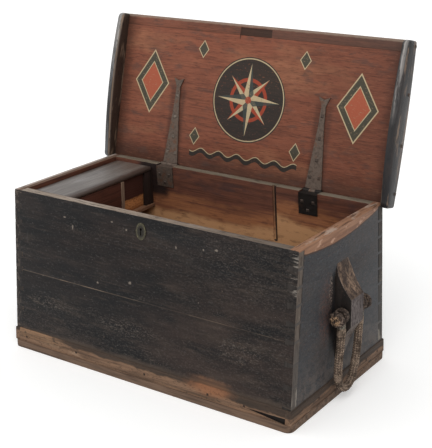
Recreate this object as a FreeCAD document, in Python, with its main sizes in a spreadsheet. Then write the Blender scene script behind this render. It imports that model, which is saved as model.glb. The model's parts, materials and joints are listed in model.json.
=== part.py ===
"""Sea chest with a hinged lid, a lidded till, a lock and a rope becket at each end.

Millimetres. X runs along the chest, Y to its back, Z up. The origin is the middle of the underside.
The front and back boards lean in towards the rim, the ends stand upright, and the lid is modelled
shut and then turned back about its hinges, which is how the chest stands at rest.
"""

import FreeCAD, Part
import math
import os

import Sketcher
from FreeCAD import Vector

# name, value, what it is
SIZES = [
    # carcass
    ("chest_length", 900.0, "length over the end boards"),
    ("rim_depth", 425.0, "depth over the front and back boards at the rim"),
    ("rim_height", 455.0, "height of the rim above the floor"),
    ("cant", 34.0, "how far the front and back each lean in over the full height"),
    ("board", 25.0, "thickness of the carcass boards, measured level"),
    ("seam_height", 230.0, "height of the seam between the two front boards"),
    ("upper_tail_count", 5.0, "dovetails in the upper front and back boards"),
    ("lower_tail_count", 3.0, "dovetails in the lower front and back boards"),
    ("pin_tip", 7.0, "width of a pin where it shows on the front"),
    ("pin_root", 15.0, "width of a pin at its widest"),
    ("bottom_board", 20.0, "thickness of the bottom boards"),
    ("bottom_proud", 5.0, "how far the bottom boards stand out past the carcass"),
    ("bottom_corner", 18.0, "corner radius of the bottom boards in plan"),
    ("plinth_top", 57.0, "height of the top of the plinth strips"),
    ("plinth_strip", 16.0, "thickness of the plinth strips"),
    ("plinth_proud", 3.0, "how far the plinth strips stand out past the carcass"),
    ("plinth_arris", 2.0, "worn top edge of the plinth strips"),
    ("gap_length", 110.0, "length of the broken lower edge of the front plinth strip"),
    ("gap_height", 15.0, "height of that break at its tall end"),
    ("partition_groove_x", 133.5, "middle of the empty partition groove in the back"),
    ("partition_groove", 13.0, "width of that groove"),
    ("partition_groove_depth", 6.0, "depth of that groove"),
    ("partition_groove_drop", 163.0, "length of that groove down from the rim"),
    # lid
    ("lid_gap", 0.3, "clearance between shut lid and rim, and between strap and leaf"),
    ("lid_open_angle", 103.0, "angle the lid is turned back, degrees"),
    ("lid_edge", 20.0, "thickness of the lid at its long edges"),
    ("lid_crown", 8.0, "rise of the lid's outer face at the middle"),
    ("lid_strip", 30.0, "width of the front strip of the lid"),
    ("lid_overhang", 8.0, "how far the shut lid reaches past the back at the rim"),
    ("cleat_clear", 1.5, "clearance between a cleat and the chest's end"),
    ("cleat_width", 23.0, "thickness of the lid's end cleats"),
    ("cleat_drop_end", 27.0, "how far a cleat hangs below the lid at its ends"),
    ("cleat_drop_middle", 40.0, "how far a cleat hangs below the lid at its middle"),
    ("cleat_round", 16.0, "radius of a cleat's lower corners"),
    ("keeper_length", 103.0, "length of the empty keeper recess in the lid"),
    ("keeper_width", 32.0, "width of that recess"),
    ("keeper_setback", 9.0, "distance of that recess from the lid's front edge"),
    ("keeper_depth", 3.0, "depth of that recess"),
    # strap hinges
    ("hinge_inset", 209.0, "distance of each hinge from its end of the chest"),
    ("hinge_sheet", 3.5, "thickness of straps and leaves"),
    ("knuckle_radius", 6.2, "outer radius of the hinge barrels, which turn in line with the rim's rear edge"),
    ("knuckle_gap", 0.5, "clearance beside and behind the barrels"),
    ("hinge_pin", 2.75, "radius of the hinge pins"),
    ("pin_clear", 0.15, "clearance round the hinge pins"),
    ("pin_head", 1.5, "how far a hinge pin stands out at each end"),
    ("strap_length", 254.0, "length of a strap from the hinge's axis"),
    ("strap_root", 50.0, "width of a strap at its root"),
    ("strap_waist", 17.0, "width of a strap where it stops tapering fast"),
    ("strap_waist_share", 0.7, "that place, as a share of the strap's length"),
    ("strap_neck", 13.0, "width of a strap at its neck"),
    ("strap_fan", 34.0, "width of the fishtail at a strap's tip"),
    ("strap_fan_length", 24.0, "length of that fishtail"),
    ("strap_notch", 7.0, "depth of the notch in that fishtail"),
    ("leaf_width", 57.0, "width of a hinge leaf"),
    ("leaf_drop", 64.0, "how far a hinge leaf reaches down inside the back"),
    # nails
    ("nail_shank", 3.6, "width of the square nail shanks"),
    ("nail_head", 9.0, "width of the rose heads"),
    ("nail_rise", 2.2, "height of the rose heads"),
    ("nail_bite", 16.0, "how deep the nails go"),
    ("brad_head", 6.0, "width of the heads of the plinth's nails"),
    ("brad_rise", 0.8, "height of the heads of the plinth's nails"),
    # till
    ("till_length", 135.0, "reach of the till lid from the left end board"),
    ("till_drop", 10.0, "distance of the till lid's top below the rim"),
    ("till_lid", 14.0, "thickness of the till lid"),
    ("till_lid_end_clear", 1.6, "clearance between the till lid's ends and the boards at the rim"),
    ("till_lid_clear", 0.3, "clearance under the till lid and round its pivots"),
    ("till_edge_clear", 2.0, "clearance between the till lid and the end board"),
    ("till_nose", 3.0, "how far the till lid reaches past the till's side"),
    ("pivot_radius", 4.5, "radius of the till lid's pivots"),
    ("pivot_length", 12.0, "length of the till lid's pivots in the boards"),
    ("till_side", 10.0, "thickness of the till's side boards"),
    ("till_floor_top", 330.0, "height of the till's floor"),
    ("till_floor", 10.0, "thickness of the till's floor"),
    ("till_ledge", 5.0, "how far the till's floor stands out past its side"),
    ("housing", 5.0, "depth of the housings that hold the till"),
    ("post_width", 27.5, "width of the till's rear post where it shows at the rim"),
    ("stile_width", 11.0, "width of the light stile"),
    ("stile_proud", 3.0, "how far the stile stands out past the till's side"),
    ("bay_width", 99.0, "width of the set-back panel beside the stile"),
    ("bay_setback", 9.0, "how far that panel is set back"),
    # lock
    ("lock_x", 0.0, "middle of the lock"),
    ("lock_length", 104.0, "length of the lock case"),
    ("lock_height", 64.0, "height of the lock case"),
    ("lock_depth", 16.0, "depth of the lock case"),
    ("lock_wall", 2.5, "wall of the lock case"),
    ("lock_drop", 6.0, "distance of the lock case below the rim"),
    ("lock_ear", 13.0, "reach of the nailing ears past the case"),
    ("lock_ear_height", 34.0, "height of the nailing ears"),
    ("lock_bolt_bar", 12.0, "height of the lock bolt's bar"),
    ("lock_bolt_length", 76.0, "length of the lock bolt"),
    ("lock_bolt_thick", 7.0, "thickness of the lock bolt"),
    ("lock_travel", 8.0, "travel of the lock bolt"),
    ("lock_clear", 0.3, "clearance round the lock bolt"),
    ("lock_rail", 4.0, "height of the rail the lock bolt slides on"),
    ("lock_hook", 5.0, "height of the lock bolt's hooks"),
    ("lock_hook_x", 26.0, "distance of the hooks from the lock's middle"),
    ("staple_slot", 20.0, "length of the slots for the keeper's staples"),
    ("keyhole_x", -10.0, "middle of the keyhole"),
    ("keyhole_drop", 33.0, "distance of the keyhole's round top below the rim"),
    ("keyhole_radius", 3.6, "radius of the keyhole's round top"),
    ("keyhole_slot", 3.6, "width of the keyhole's slot"),
    ("keyhole_length", 16.0, "length of the keyhole's slot"),
    ("plate_width", 31.0, "width of the oval key plate"),
    ("plate_height", 45.0, "height of the oval key plate"),
    ("plate_thick", 1.8, "thickness of the key plate"),
    # rope beckets
    ("block_projection", 45.0, "how far a becket block stands out from the end"),
    ("block_top", 365.0, "height of a block's top edge at the wall"),
    ("block_ridge", 279.0, "height of the top of a block's outer face"),
    ("block_chin", 206.0, "height of the bottom of a block's outer face"),
    ("block_foot", 108.0, "height of a block's foot at the wall"),
    ("block_width", 72.0, "width of a block at the wall"),
    ("block_face", 64.0, "width of a block at its outer face"),
    ("block_crest", 57.0, "width of a block at its top edge"),
    ("block_shoulder", 335.0, "height where a block reaches its full width"),
    ("block_toe", 58.0, "width of a block at its foot"),
    ("block_hollow", 6.0, "how far a block's two tapers are hollowed"),
    ("block_nail_grip", 5.0, "how far a block's nails reach into it through the end"),
    ("becket_out", 27.0, "distance of the becket bolts from the ends"),
    ("becket_height", 240.0, "height of the becket bolts"),
    ("becket_bolt", 10.0, "radius of the becket bolts"),
    ("bolt_clear", 0.4, "clearance between a becket bolt and the bail's eyes"),
    ("eye_width", 20.0, "width of the bail's eyes"),
    ("eye_radius", 22.5, "outer radius of the bail's eyes"),
    ("eye_gap", 0.8, "side clearance of the bail's eyes"),
    ("throat_length", 34.0, "distance from a bolt down to where the bail's rope starts"),
    ("rope", 22.0, "diameter of the bail's rope"),
    ("knot_radius", 23.0, "radius of the knots on the becket bolts"),
    ("knot_width", 23.0, "width of those knots"),
    ("knot_round", 8.0, "rounding of those knots"),
]

# The bail's hanging loop as (Y, distance below its two ends); the first and last Y come from the eyes.
BAIL_LOOP = [(0.0, 34.0), (-62.0, 108.0), (-51.0, 166.0), (7.0, 180.0), (38.0, 106.0), (0.0, 34.0)]

doc = FreeCAD.newDocument("SeaChest")
sheet = doc.addObject("Spreadsheet::Sheet", "Sizes")
for row, (alias, value, note) in enumerate(SIZES, start=1):
    sheet.set(f"A{row}", alias)
    sheet.set(f"B{row}", str(value))
    sheet.set(f"C{row}", note)
    sheet.setAlias(f"B{row}", alias)
doc.recompute()

NODES = []


# ---- helpers -------------------------------------------------------------------------------------

def number(expression):
    """The value of an expression on the sheet."""
    return float(getattr(value := sheet.evalExpression(str(expression)), "Value", value))


def keep(item, name):
    """Makes an object a sub-part: its label is the name of its file."""
    item.Label = name
    if item.Label != name:
        raise RuntimeError(f"{name} is already in use")
    NODES.append(item)
    return item


def place(item, x="0", y="0", z="0", turn="0", axis=(1, 0, 0)):
    """Puts an object at a place given in expressions, turned about an axis through that place."""
    spin = f"rotation(vector({axis[0]}; {axis[1]}; {axis[2]}); {turn})"
    item.setExpression("Placement", f"placement(vector({x}; {y}; {z}); {spin})")
    return item


def box(name, x, y, z, turn="0"):
    """A block between two expressions on each axis, turned about X at its low Y and Z if asked."""
    block = doc.addObject("Part::Box", name)
    for side, (low, high) in zip(("Length", "Width", "Height"), (x, y, z)):
        block.setExpression(side, f"({high}) - ({low})")
    return place(block, x[0], y[0], z[0], turn)


def rod(name, radius, length, x, y, z, axis):
    """A cylinder that starts at a point and runs along +X or +Y."""
    bar = doc.addObject("Part::Cylinder", name)
    bar.setExpression("Radius", radius)
    bar.setExpression("Height", length)
    return place(bar, x, y, z, "90" if axis == "x" else "-90", (0, 1, 0) if axis == "x" else (1, 0, 0))


def join(name, pieces):
    fused = doc.addObject("Part::MultiFuse", name)
    fused.Shapes = pieces
    return fused


def group(name, pieces):
    together = doc.addObject("Part::Compound", name)
    together.Links = pieces
    return together


def cut(name, base, tools):
    """The base with every tool taken away."""
    result = doc.addObject("Part::Cut", name)
    result.Base = base
    result.Tool = tools[0] if len(tools) == 1 else group(name + "_tools", tools)
    return result


def common(name, pieces):
    shared = doc.addObject("Part::MultiCommon", name)
    shared.Shapes = pieces
    return shared


def mirrored(name, source):
    """The same piece on the other side of the chest's middle."""
    copy = doc.addObject("Part::Mirroring", name)
    copy.Source = source
    copy.Normal = (1, 0, 0)
    return copy


def body(name):
    return doc.addObject("PartDesign::Body", name)


def sketch(owner, role, name):
    """An empty sketch on one of a body's own origin planes."""
    drawing = owner.newObject("Sketcher::SketchObject", name)
    plane = next(f for f in owner.Origin.OriginFeatures if f.Role == role)
    drawing.AttachmentSupport = [(plane, "")]
    drawing.MapMode = "FlatFace"
    return drawing


def outline(drawing, corners, arcs=None):
    """Draws a closed outline. corners are (x, y) expressions. arcs maps the number of a side to
    (x, y, which): the expressions of its arc's middle, and which of the two is tied to the sheet."""
    arcs = arcs or {}
    first = drawing.GeometryCount
    points = [Vector(number(x), number(y), 0) for x, y in corners]
    count = len(points)
    heads = []
    for i, start in enumerate(points):
        stop = points[(i + 1) % count]
        if i not in arcs:
            drawing.addGeometry(Part.LineSegment(start, stop), False)
            heads.append((1, 2))
            continue
        middle = Vector(number(arcs[i][0]), number(arcs[i][1]), 0)
        circle = Part.Circle(middle, Vector(0, 0, 1), (start - middle).Length)
        begin, end = circle.parameter(start), circle.parameter(stop)
        forward = (end - begin) % (2 * math.pi) < math.pi + 0.01
        span = (begin, end) if forward else (end, begin)
        drawing.addGeometry(Part.ArcOfCircle(circle, *span), False)
        heads.append((1, 2) if forward else (2, 1))
    for i in range(count):
        after = (i + 1) % count
        meeting = (first + i, heads[i][1], first + after, heads[after][0])
        drawing.addConstraint(Sketcher.Constraint("Coincident", *meeting))
    for i, corner in enumerate(corners):
        for kind, text in zip(("DistanceX", "DistanceY"), corner):
            tie(drawing, kind, first + i, heads[i][0], text)
    for i, (x, y, which) in arcs.items():
        tie(drawing, "Distance" + which.upper(), first + i, 3, x if which == "x" else y)


def tie(drawing, kind, geometry, point, text):
    """Ties one coordinate of a sketch point to an expression."""
    index = drawing.addConstraint(Sketcher.Constraint(kind, -1, 1, geometry, point, number(text)))
    drawing.setExpression(f"Constraints[{index}]", str(text))


def pad(owner, drawing, length, both=False, back=False):
    """Pads a sketch by a length, forwards, backwards or evenly to both sides."""
    solid = owner.newObject("PartDesign::Pad", drawing.Name + "_pad")
    solid.Profile = drawing
    solid.setExpression("Length", length)
    solid.Midplane = both
    solid.Reversed = back
    return solid


def pocket_through(owner, drawing):
    """Cuts a sketch right through a body, to both sides."""
    hole = owner.newObject("PartDesign::Pocket", drawing.Name + "_pocket")
    hole.Profile = drawing
    hole.Type = "ThroughAll"
    hole.Midplane = True
    return hole


def rectangle(x0, x1, y0, y1):
    return [(x0, y0), (x1, y0), (x1, y1), (x0, y1)]


def prism(name, role, corners, length, both=False, arcs=None):
    """A body padded from one outline on an origin plane."""
    owner = body(name)
    drawing = sketch(owner, role, name + "_outline")
    outline(drawing, corners, arcs)
    pad(owner, drawing, length, both)
    return owner


# ---- shared places, as expressions ---------------------------------------------------------------

END = "Sizes.chest_length / 2"
END_INSIDE = f"({END} - Sizes.board)"
HALF_RIM = "Sizes.rim_depth / 2"
RIM = "Sizes.rim_height"
FLOOR = "Sizes.bottom_board"
LEAN = "atan(Sizes.cant / Sizes.rim_height)"


def outer(z):
    """Half the depth over the front and back boards at a height."""
    return f"({HALF_RIM} + Sizes.cant * (1 - ({z}) / Sizes.rim_height))"


def inner(z):
    """Half the depth between the front and back boards at a height."""
    return f"({outer(z)} - Sizes.board)"


# ---- nails ---------------------------------------------------------------------------------------

def nails(name, role, spots, heads_back=False, bite="Sizes.nail_bite", head="nail"):
    """Square-shanked rose-head nails in one body, drawn on a plane with their heads standing on it."""
    owner = body(name)
    rise = f"Sizes.{head}_rise"
    for kind, half, length, back in (
        ("shanks", "Sizes.nail_shank / 2", bite, not heads_back),
        ("heads", f"Sizes.{head}_head / 2", rise, heads_back),
    ):
        drawing = sketch(owner, role, f"{name}_{kind}")
        for u, v in spots:
            outline(drawing, rectangle(f"{u} - {half}", f"{u} + {half}", f"{v} - {half}", f"{v} + {half}"))
        heads = pad(owner, drawing, length, back=back)
    doc.recompute()
    normal = {"XY_Plane": Vector(0, 0, 1), "XZ_Plane": Vector(0, -1, 0), "YZ_Plane": Vector(1, 0, 0)}[role]
    top = normal * number(rise) * (-1 if heads_back else 1)
    rims = [f"Edge{i}" for i, edge in enumerate(heads.Shape.Edges, start=1)
            if all(abs((corner.Point - top).dot(normal)) < 1e-6 for corner in edge.Vertexes)]
    facets = owner.newObject("PartDesign::Chamfer", name + "_facets")
    facets.Base = (heads, rims)
    facets.setExpression("Size", f"{rise} * 0.85")
    owner.Tip = facets
    return owner


# ---- bottom and plinth ---------------------------------------------------------------------------

BOTTOM_END = f"({END} + Sizes.bottom_proud)"
BOTTOM_SIDE = f"({outer(0)} + Sizes.bottom_proud)"


def bottom_plank(name, side):
    """Half of the bottom, with its two outer corners rounded. side is -1 in front and 1 behind."""
    radius = "Sizes.bottom_corner"
    edge, turn = f"{side} * {BOTTOM_SIDE}", f"{side} * ({BOTTOM_SIDE} - {radius})"
    run = f"({BOTTOM_END} - {radius})"
    corners = [(f"-{BOTTOM_END}", "0"), (f"-{BOTTOM_END}", turn), (f"-{run}", edge),
               (run, edge), (BOTTOM_END, turn), (BOTTOM_END, "0")]
    arcs = {1: (f"-{run}", turn, "x"), 3: (run, turn, "x")}
    return keep(prism(name, "XY_Plane", corners, FLOOR, arcs=arcs), name)


bottom_front = bottom_plank("bottom_plank_front", -1)
bottom_back = bottom_plank("bottom_plank_back", 1)

PLINTH_END = f"({END} + Sizes.plinth_proud)"


def plinth_long(name, side):
    """The plinth strip along the front or back, between the end strips."""
    top, arris = "Sizes.plinth_top", "Sizes.plinth_arris"

    def face(z, back="0"):
        return f"{side} * ({outer(z)} + Sizes.plinth_proud - ({back}))"

    corners = [(face(FLOOR), FLOOR), (face(f"{top} - {arris}"), f"{top} - {arris}"),
               (face(top, arris), top), (face(top, "Sizes.plinth_strip"), top),
               (face(FLOOR, "Sizes.plinth_strip"), FLOOR)]
    return prism(name, "YZ_Plane", corners, f"2 * ({PLINTH_END} - Sizes.plinth_strip)", both=True)


BREAK_END = f"({PLINTH_END} - Sizes.plinth_strip)"
BRAD_Z = f"({FLOOR} * 0.6 + Sizes.plinth_top * 0.4)"


def brads(name, side):
    """Small nails through the strip along the front (side -1) or the back (side 1)."""
    spots = [(f"{share} * {BREAK_END}", "0") for share in (-0.94, -0.52, 0.02, 0.48, 0.73)]
    row = nails(name, "XZ_Plane", spots, heads_back=side > 0, bite="Sizes.board", head="brad")
    return place(row, y=f"{side} * ({outer(BRAD_Z)} + Sizes.plinth_proud)", z=BRAD_Z, turn=f"{side} * {LEAN}")


end_spots = [(f"{share} * {outer(0)}", BRAD_Z) for share in (-0.45, 0.05, 0.58, 0.84)]
brads_front, brads_back = brads("brads_front", -1), brads("brads_back", 1)
brads_right = nails("brads_right", "YZ_Plane", end_spots, bite="Sizes.board", head="brad")
place(brads_right, x=PLINTH_END)
brads_left = mirrored("brads_left", brads_right)

strip_front = plinth_long("strip_front", -1)
break_drawing = sketch(strip_front, "XZ_Plane", "broken_edge")
outline(break_drawing, [(f"{BREAK_END} - Sizes.gap_length", f"{FLOOR} + Sizes.gap_height * 0.8"),
                        (BREAK_END, FLOOR), (BREAK_END, f"{FLOOR} + Sizes.gap_height")])
pocket_through(strip_front, break_drawing)
strip_back = plinth_long("strip_back", 1)


def plinth_end():
    """The plinth strip across the right end, lapping over the ends of the long strips."""
    top, arris, proud = "Sizes.plinth_top", "Sizes.plinth_arris", "Sizes.plinth_proud"
    strip = prism("strip_right", "XZ_Plane", [
        (PLINTH_END, FLOOR), (PLINTH_END, f"{top} - {arris}"), (f"{PLINTH_END} - {arris}", top),
        (f"{PLINTH_END} - Sizes.plinth_strip", top), (f"{PLINTH_END} - Sizes.plinth_strip", FLOOR),
    ], f"2 * ({outer(0)} + {proud})", both=True)
    trim = sketch(strip, "YZ_Plane", "plinth_end_slope")
    for side in (-1, 1):
        low, high = f"({outer(FLOOR)} + {proud})", f"({outer(top)} + {proud})"
        outline(trim, [(f"{side} * {low}", FLOOR), (f"{side} * {high}", top),
                       (f"{side} * ({low} + 20)", top), (f"{side} * ({low} + 20)", FLOOR)])
    pocket_through(strip, trim)
    return strip


strip_right = plinth_end()
strip_left = mirrored("strip_left", strip_right)
strips = [strip_front, strip_back, strip_right, strip_left]
all_brads = [brads_front, brads_back, brads_right, brads_left]
for side, strip, row in zip(("front", "back", "right", "left"), strips, all_brads):
    keep(cut(f"strip_drilled_{side}", strip, [row]), f"plinth_{side}")
    keep(row, f"plinth_nails_{side}")
plinth_tools = [*strips, *all_brads]

# ---- till, before the boards that it is housed in ------------------------------------------------

TILL_SIDE_OUT = f"(-{END_INSIDE} + Sizes.till_length - Sizes.till_nose)"
TILL_SIDE_IN = f"({TILL_SIDE_OUT} - Sizes.till_side)"
TILL_LID_TOP = f"({RIM} - Sizes.till_drop)"
TILL_LID_UNDER = f"({TILL_LID_TOP} - Sizes.till_lid)"
TILL_SIDE_TOP = f"({TILL_LID_UNDER} - Sizes.till_lid_clear)"
TILL_FLOOR_TOP = "Sizes.till_floor_top"
TILL_FLOOR_UNDER = f"({TILL_FLOOR_TOP} - Sizes.till_floor)"
BAY_END = f"({HALF_RIM} - Sizes.board - Sizes.post_width)"
STILE_END = f"({BAY_END} - Sizes.bay_width)"
STILE_START = f"({STILE_END} - Sizes.stile_width)"


def across(z):
    """Reach of a board that is housed in the front or the back, at a height."""
    return f"({inner(z)} + Sizes.housing)"


def till_board(name, corners, start, length):
    """A till board cut from an outline across the chest, set along X."""
    piece = prism(name, "YZ_Plane", corners, length)
    return keep(place(piece, x=start), name)


till_floor = till_board("till_floor", [
    (f"-{across(TILL_FLOOR_UNDER)}", TILL_FLOOR_UNDER), (across(TILL_FLOOR_UNDER), TILL_FLOOR_UNDER),
    (across(TILL_FLOOR_TOP), TILL_FLOOR_TOP), (f"-{across(TILL_FLOOR_TOP)}", TILL_FLOOR_TOP),
], f"-{END_INSIDE}", f"{TILL_SIDE_OUT} + {END_INSIDE} + Sizes.till_ledge")

till_side_front = till_board("till_side_front", [
    (f"-{across(TILL_FLOOR_TOP)}", TILL_FLOOR_TOP), (STILE_START, TILL_FLOOR_TOP),
    (STILE_START, TILL_SIDE_TOP), (f"-{across(TILL_SIDE_TOP)}", TILL_SIDE_TOP),
], TILL_SIDE_IN, "Sizes.till_side")

till_side_back = till_board("till_side_back", [
    (BAY_END, TILL_FLOOR_TOP), (across(TILL_FLOOR_TOP), TILL_FLOOR_TOP),
    (across(TILL_SIDE_TOP), TILL_SIDE_TOP), (BAY_END, TILL_SIDE_TOP),
], TILL_SIDE_IN, "Sizes.till_side")

till_stile = till_board(
    "till_stile", rectangle(STILE_START, STILE_END, TILL_FLOOR_TOP, TILL_SIDE_TOP),
    f"{TILL_SIDE_IN} - Sizes.bay_setback", "Sizes.bay_setback + Sizes.till_side + Sizes.stile_proud")

till_bay_panel = till_board(
    "till_bay_panel", rectangle(STILE_END, BAY_END, TILL_FLOOR_TOP, TILL_SIDE_TOP),
    f"{TILL_SIDE_IN} - Sizes.bay_setback", "Sizes.till_side")

PIVOT_Z = f"({TILL_LID_TOP} - Sizes.till_lid / 2)"
PIVOT_X = f"(-{END_INSIDE} + Sizes.till_edge_clear + Sizes.till_lid / 2)"
TILL_LID_HALF = f"({inner(RIM)} - Sizes.till_lid_end_clear)"
TILL_NOSE_X = f"({TILL_SIDE_OUT} + Sizes.till_nose - Sizes.till_lid / 2)"

till_slab = prism("till_lid_slab", "XZ_Plane", [
    (PIVOT_X, TILL_LID_UNDER), (TILL_NOSE_X, TILL_LID_UNDER),
    (TILL_NOSE_X, TILL_LID_TOP), (PIVOT_X, TILL_LID_TOP),
], f"2 * {TILL_LID_HALF}", both=True, arcs={1: (TILL_NOSE_X, PIVOT_Z, "x"), 3: (PIVOT_X, PIVOT_Z, "x")})
PIVOT_REACH = f"({TILL_LID_HALF} + Sizes.till_lid_end_clear + Sizes.pivot_length)"
till_pivot = rod("till_lid_pivot", "Sizes.pivot_radius", f"2 * {PIVOT_REACH}",
                 PIVOT_X, f"-{PIVOT_REACH}", PIVOT_Z, "y")
till_lid = keep(join("till_lid", [till_slab, till_pivot]), "till_lid")

PIVOT_HOLE_REACH = f"({PIVOT_REACH} + Sizes.till_lid_clear)"
pivot_holes = rod("till_pivot_holes", "Sizes.pivot_radius + Sizes.till_lid_clear", f"2 * {PIVOT_HOLE_REACH}",
                  PIVOT_X, f"-{PIVOT_HOLE_REACH}", PIVOT_Z, "y")

# ---- hinges, shut --------------------------------------------------------------------------------

LID_UNDER = f"({RIM} + Sizes.lid_gap)"
STRAP_UNDER = f"({LID_UNDER} - Sizes.hinge_sheet)"
LEAF_TOP = f"({STRAP_UNDER} - Sizes.lid_gap)"
LEAF_UNDER = f"({LEAF_TOP} - Sizes.hinge_sheet)"
AXIS_Z = f"(({STRAP_UNDER} + {LEAF_TOP}) / 2)"
AXIS_Y = HALF_RIM
SHEET_END = f"({AXIS_Y} - Sizes.knuckle_radius - Sizes.knuckle_gap)"
BARREL = "(Sizes.leaf_width / 3)"
TURN_BACK = "rotation(vector(1; 0; 0); -Sizes.lid_open_angle)"
OPEN = f"placement(vector(0; 0; 0); {TURN_BACK}; vector(0; {AXIS_Y}; {AXIS_Z}))"
SIDES = (("left", -1), ("right", 1))


def keep_on_lid(item, name):
    """Makes a piece of the shut lid a sub-part, turned back about the hinges."""
    turned = group(name + "_turned", [item])
    turned.setExpression("Placement", OPEN)
    return keep(turned, name)


def knuckle(name, x, length):
    """One barrel with the tongue that joins it to its sheet; z0 and z1 are set by the caller."""
    return rod(name, "Sizes.knuckle_radius", length, x, AXIS_Y, AXIS_Z, "x")


def drilled(name, pieces, start):
    """Sheet, tongues and barrels as one piece, bored for the pin."""
    bore = rod(name + "_bore", "Sizes.hinge_pin + Sizes.pin_clear", "Sizes.leaf_width",
               start, AXIS_Y, AXIS_Z, "x")
    return cut(name, join(name + "_blank", pieces), [bore])


def strap_sheet(name, middle):
    """The tapered strap with its fishtail, flat under the lid."""
    def at(x, u):
        return (f"{middle} + ({x})", f"{HALF_RIM} - ({u})")

    root, neck, fan = (f"Sizes.strap_{part} / 2" for part in ("root", "neck", "fan"))
    start = f"{HALF_RIM} - {SHEET_END}"
    neck_u = "Sizes.strap_length - Sizes.strap_fan_length"
    tip_u = "Sizes.strap_length"
    waist, waist_u = "Sizes.strap_waist / 2", "Sizes.strap_length * Sizes.strap_waist_share"
    right = [at(root, start), at(waist, waist_u), at(neck, neck_u), at(fan, tip_u)]
    notch = [at("0", f"{tip_u} - Sizes.strap_notch")]
    left = [at(f"-{fan}", tip_u), at(f"-{neck}", neck_u), at(f"-{waist}", waist_u), at(f"-{root}", start)]
    return place(prism(name, "XY_Plane", right + notch + left, "Sizes.hinge_sheet"), z=STRAP_UNDER)


def strap_nail_spots(middle):
    """Two nails across the root and three up the middle, as shares of the strap's length."""
    across_root = [(f"{middle} + ({side} * Sizes.strap_root * 0.28)", 0.145) for side in (-1, 1)]
    up_middle = [(middle, share) for share in (0.33, 0.56, 0.8)]
    return [(x, f"({HALF_RIM} - Sizes.strap_length * {share})") for x, share in across_root + up_middle]


def leaf_sheet(name, start):
    """The leaf: down the inside of the back, and over the rim."""
    low = f"({RIM} - Sizes.leaf_drop)"
    sheet_back = "Sizes.hinge_sheet"
    corners = [(f"{inner(low)} - {sheet_back}", low), (inner(low), low),
               (inner(LEAF_UNDER), LEAF_UNDER), (SHEET_END, LEAF_UNDER),
               (SHEET_END, LEAF_TOP), (f"{inner(LEAF_TOP)} - {sheet_back}", LEAF_TOP)]
    return place(prism(name, "YZ_Plane", corners, "Sizes.leaf_width"), x=start)


strap_nails, leaf_nails, rim_recesses, lid_notches = [], [], [], []
for side, sign in SIDES:
    middle = f"({sign} * ({END} - Sizes.hinge_inset))"
    start = f"({middle} - Sizes.leaf_width / 2)"
    gap = "Sizes.knuckle_gap"
    centre = (f"{start} + {BARREL} + {gap} / 2", f"{BARREL} - {gap}")
    side_barrel = f"{BARREL} - {gap} / 2"
    ends = [(start, side_barrel), (f"{start} + 2 * {BARREL} + {gap} / 2", side_barrel)]

    tongue = box(f"strap_tongue_{side}", (centre[0], f"{centre[0]} + {centre[1]}"),
                 (SHEET_END, AXIS_Y), (STRAP_UNDER, LID_UNDER))
    strap_blank = drilled(f"strap_blank_{side}", [
        strap_sheet(f"strap_sheet_{side}", middle), tongue, knuckle(f"strap_barrel_{side}", *centre)], start)
    spots = strap_nail_spots(middle)
    nail_group = place(nails(f"strap_nail_set_{side}", "XY_Plane", spots, heads_back=True), z=STRAP_UNDER)
    keep_on_lid(cut(f"strap_drilled_{side}", strap_blank, [nail_group]), f"hinge_strap_{side}")
    keep_on_lid(nail_group, f"strap_nails_{side}")
    strap_nails.append(nail_group)

    leaf_parts = [leaf_sheet(f"leaf_sheet_{side}", start)]
    for number_of, (x, length) in enumerate(ends):
        leaf_parts.append(knuckle(f"leaf_barrel_{side}_{number_of}", x, length))
        leaf_parts.append(box(f"leaf_tongue_{side}_{number_of}", (x, f"{x} + {length}"),
                              (SHEET_END, AXIS_Y), (LEAF_UNDER, LEAF_TOP)))
    leaf_blank = drilled(f"leaf_blank_{side}", leaf_parts, start)
    low, high = f"({RIM} - Sizes.leaf_drop * 0.8)", f"({RIM} - Sizes.leaf_drop * 0.42)"
    face_z = f"({RIM} - Sizes.leaf_drop / 2)"
    reach = "Sizes.leaf_width * 0.3"
    heights = [(f"{middle} - {reach}", high), (f"{middle} + {reach}", high), (middle, low)]
    spots = [(x, f"(({z}) - {face_z}) / cos({LEAN})") for x, z in heights]
    leaf_face = f"{inner(face_z)} - Sizes.hinge_sheet"
    nail_group = place(nails(f"leaf_nail_set_{side}", "XZ_Plane", spots), y=leaf_face, z=face_z, turn=LEAN)
    keep(cut(f"hinge_leaf_{side}", leaf_blank, [nail_group]), f"hinge_leaf_{side}")
    leaf_nails.append(keep(nail_group, f"leaf_nails_{side}"))

    recess_x = (f"{start} - Sizes.lid_gap", f"{start} + Sizes.leaf_width + Sizes.lid_gap")
    recess_y = (f"{inner(RIM)} - Sizes.board", f"{HALF_RIM} + Sizes.board")
    rim_recesses.append(box(f"rim_recess_{side}", recess_x, recess_y, (LEAF_UNDER, f"{RIM} + 1")))
    room = f"(Sizes.knuckle_radius + {gap})"
    barrel_x = (f"{start} - Sizes.pin_head - {gap}", f"{start} + Sizes.leaf_width + Sizes.pin_head + {gap}")
    barrel_y = (f"{AXIS_Y} - {room}", f"{HALF_RIM} + Sizes.board")
    rim_recesses.append(box(f"barrel_recess_{side}", barrel_x, barrel_y, (f"{AXIS_Z} - {room}", f"{RIM} + 1")))
    lid_notches.append(box(f"barrel_notch_{side}", barrel_x, barrel_y,
                           (f"{LID_UNDER} - 1", f"{AXIS_Z} + {room}")))
    keep(rod(f"hinge_pin_{side}", "Sizes.hinge_pin", "Sizes.leaf_width + 2 * Sizes.pin_head",
             f"{start} - Sizes.pin_head", AXIS_Y, AXIS_Z, "x"), f"hinge_pin_{side}")

# ---- lock and key plate --------------------------------------------------------------------------

LOCK_TOP = f"({RIM} - Sizes.lock_drop)"
KEYHOLE_Z = f"({RIM} - Sizes.keyhole_drop)"


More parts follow.
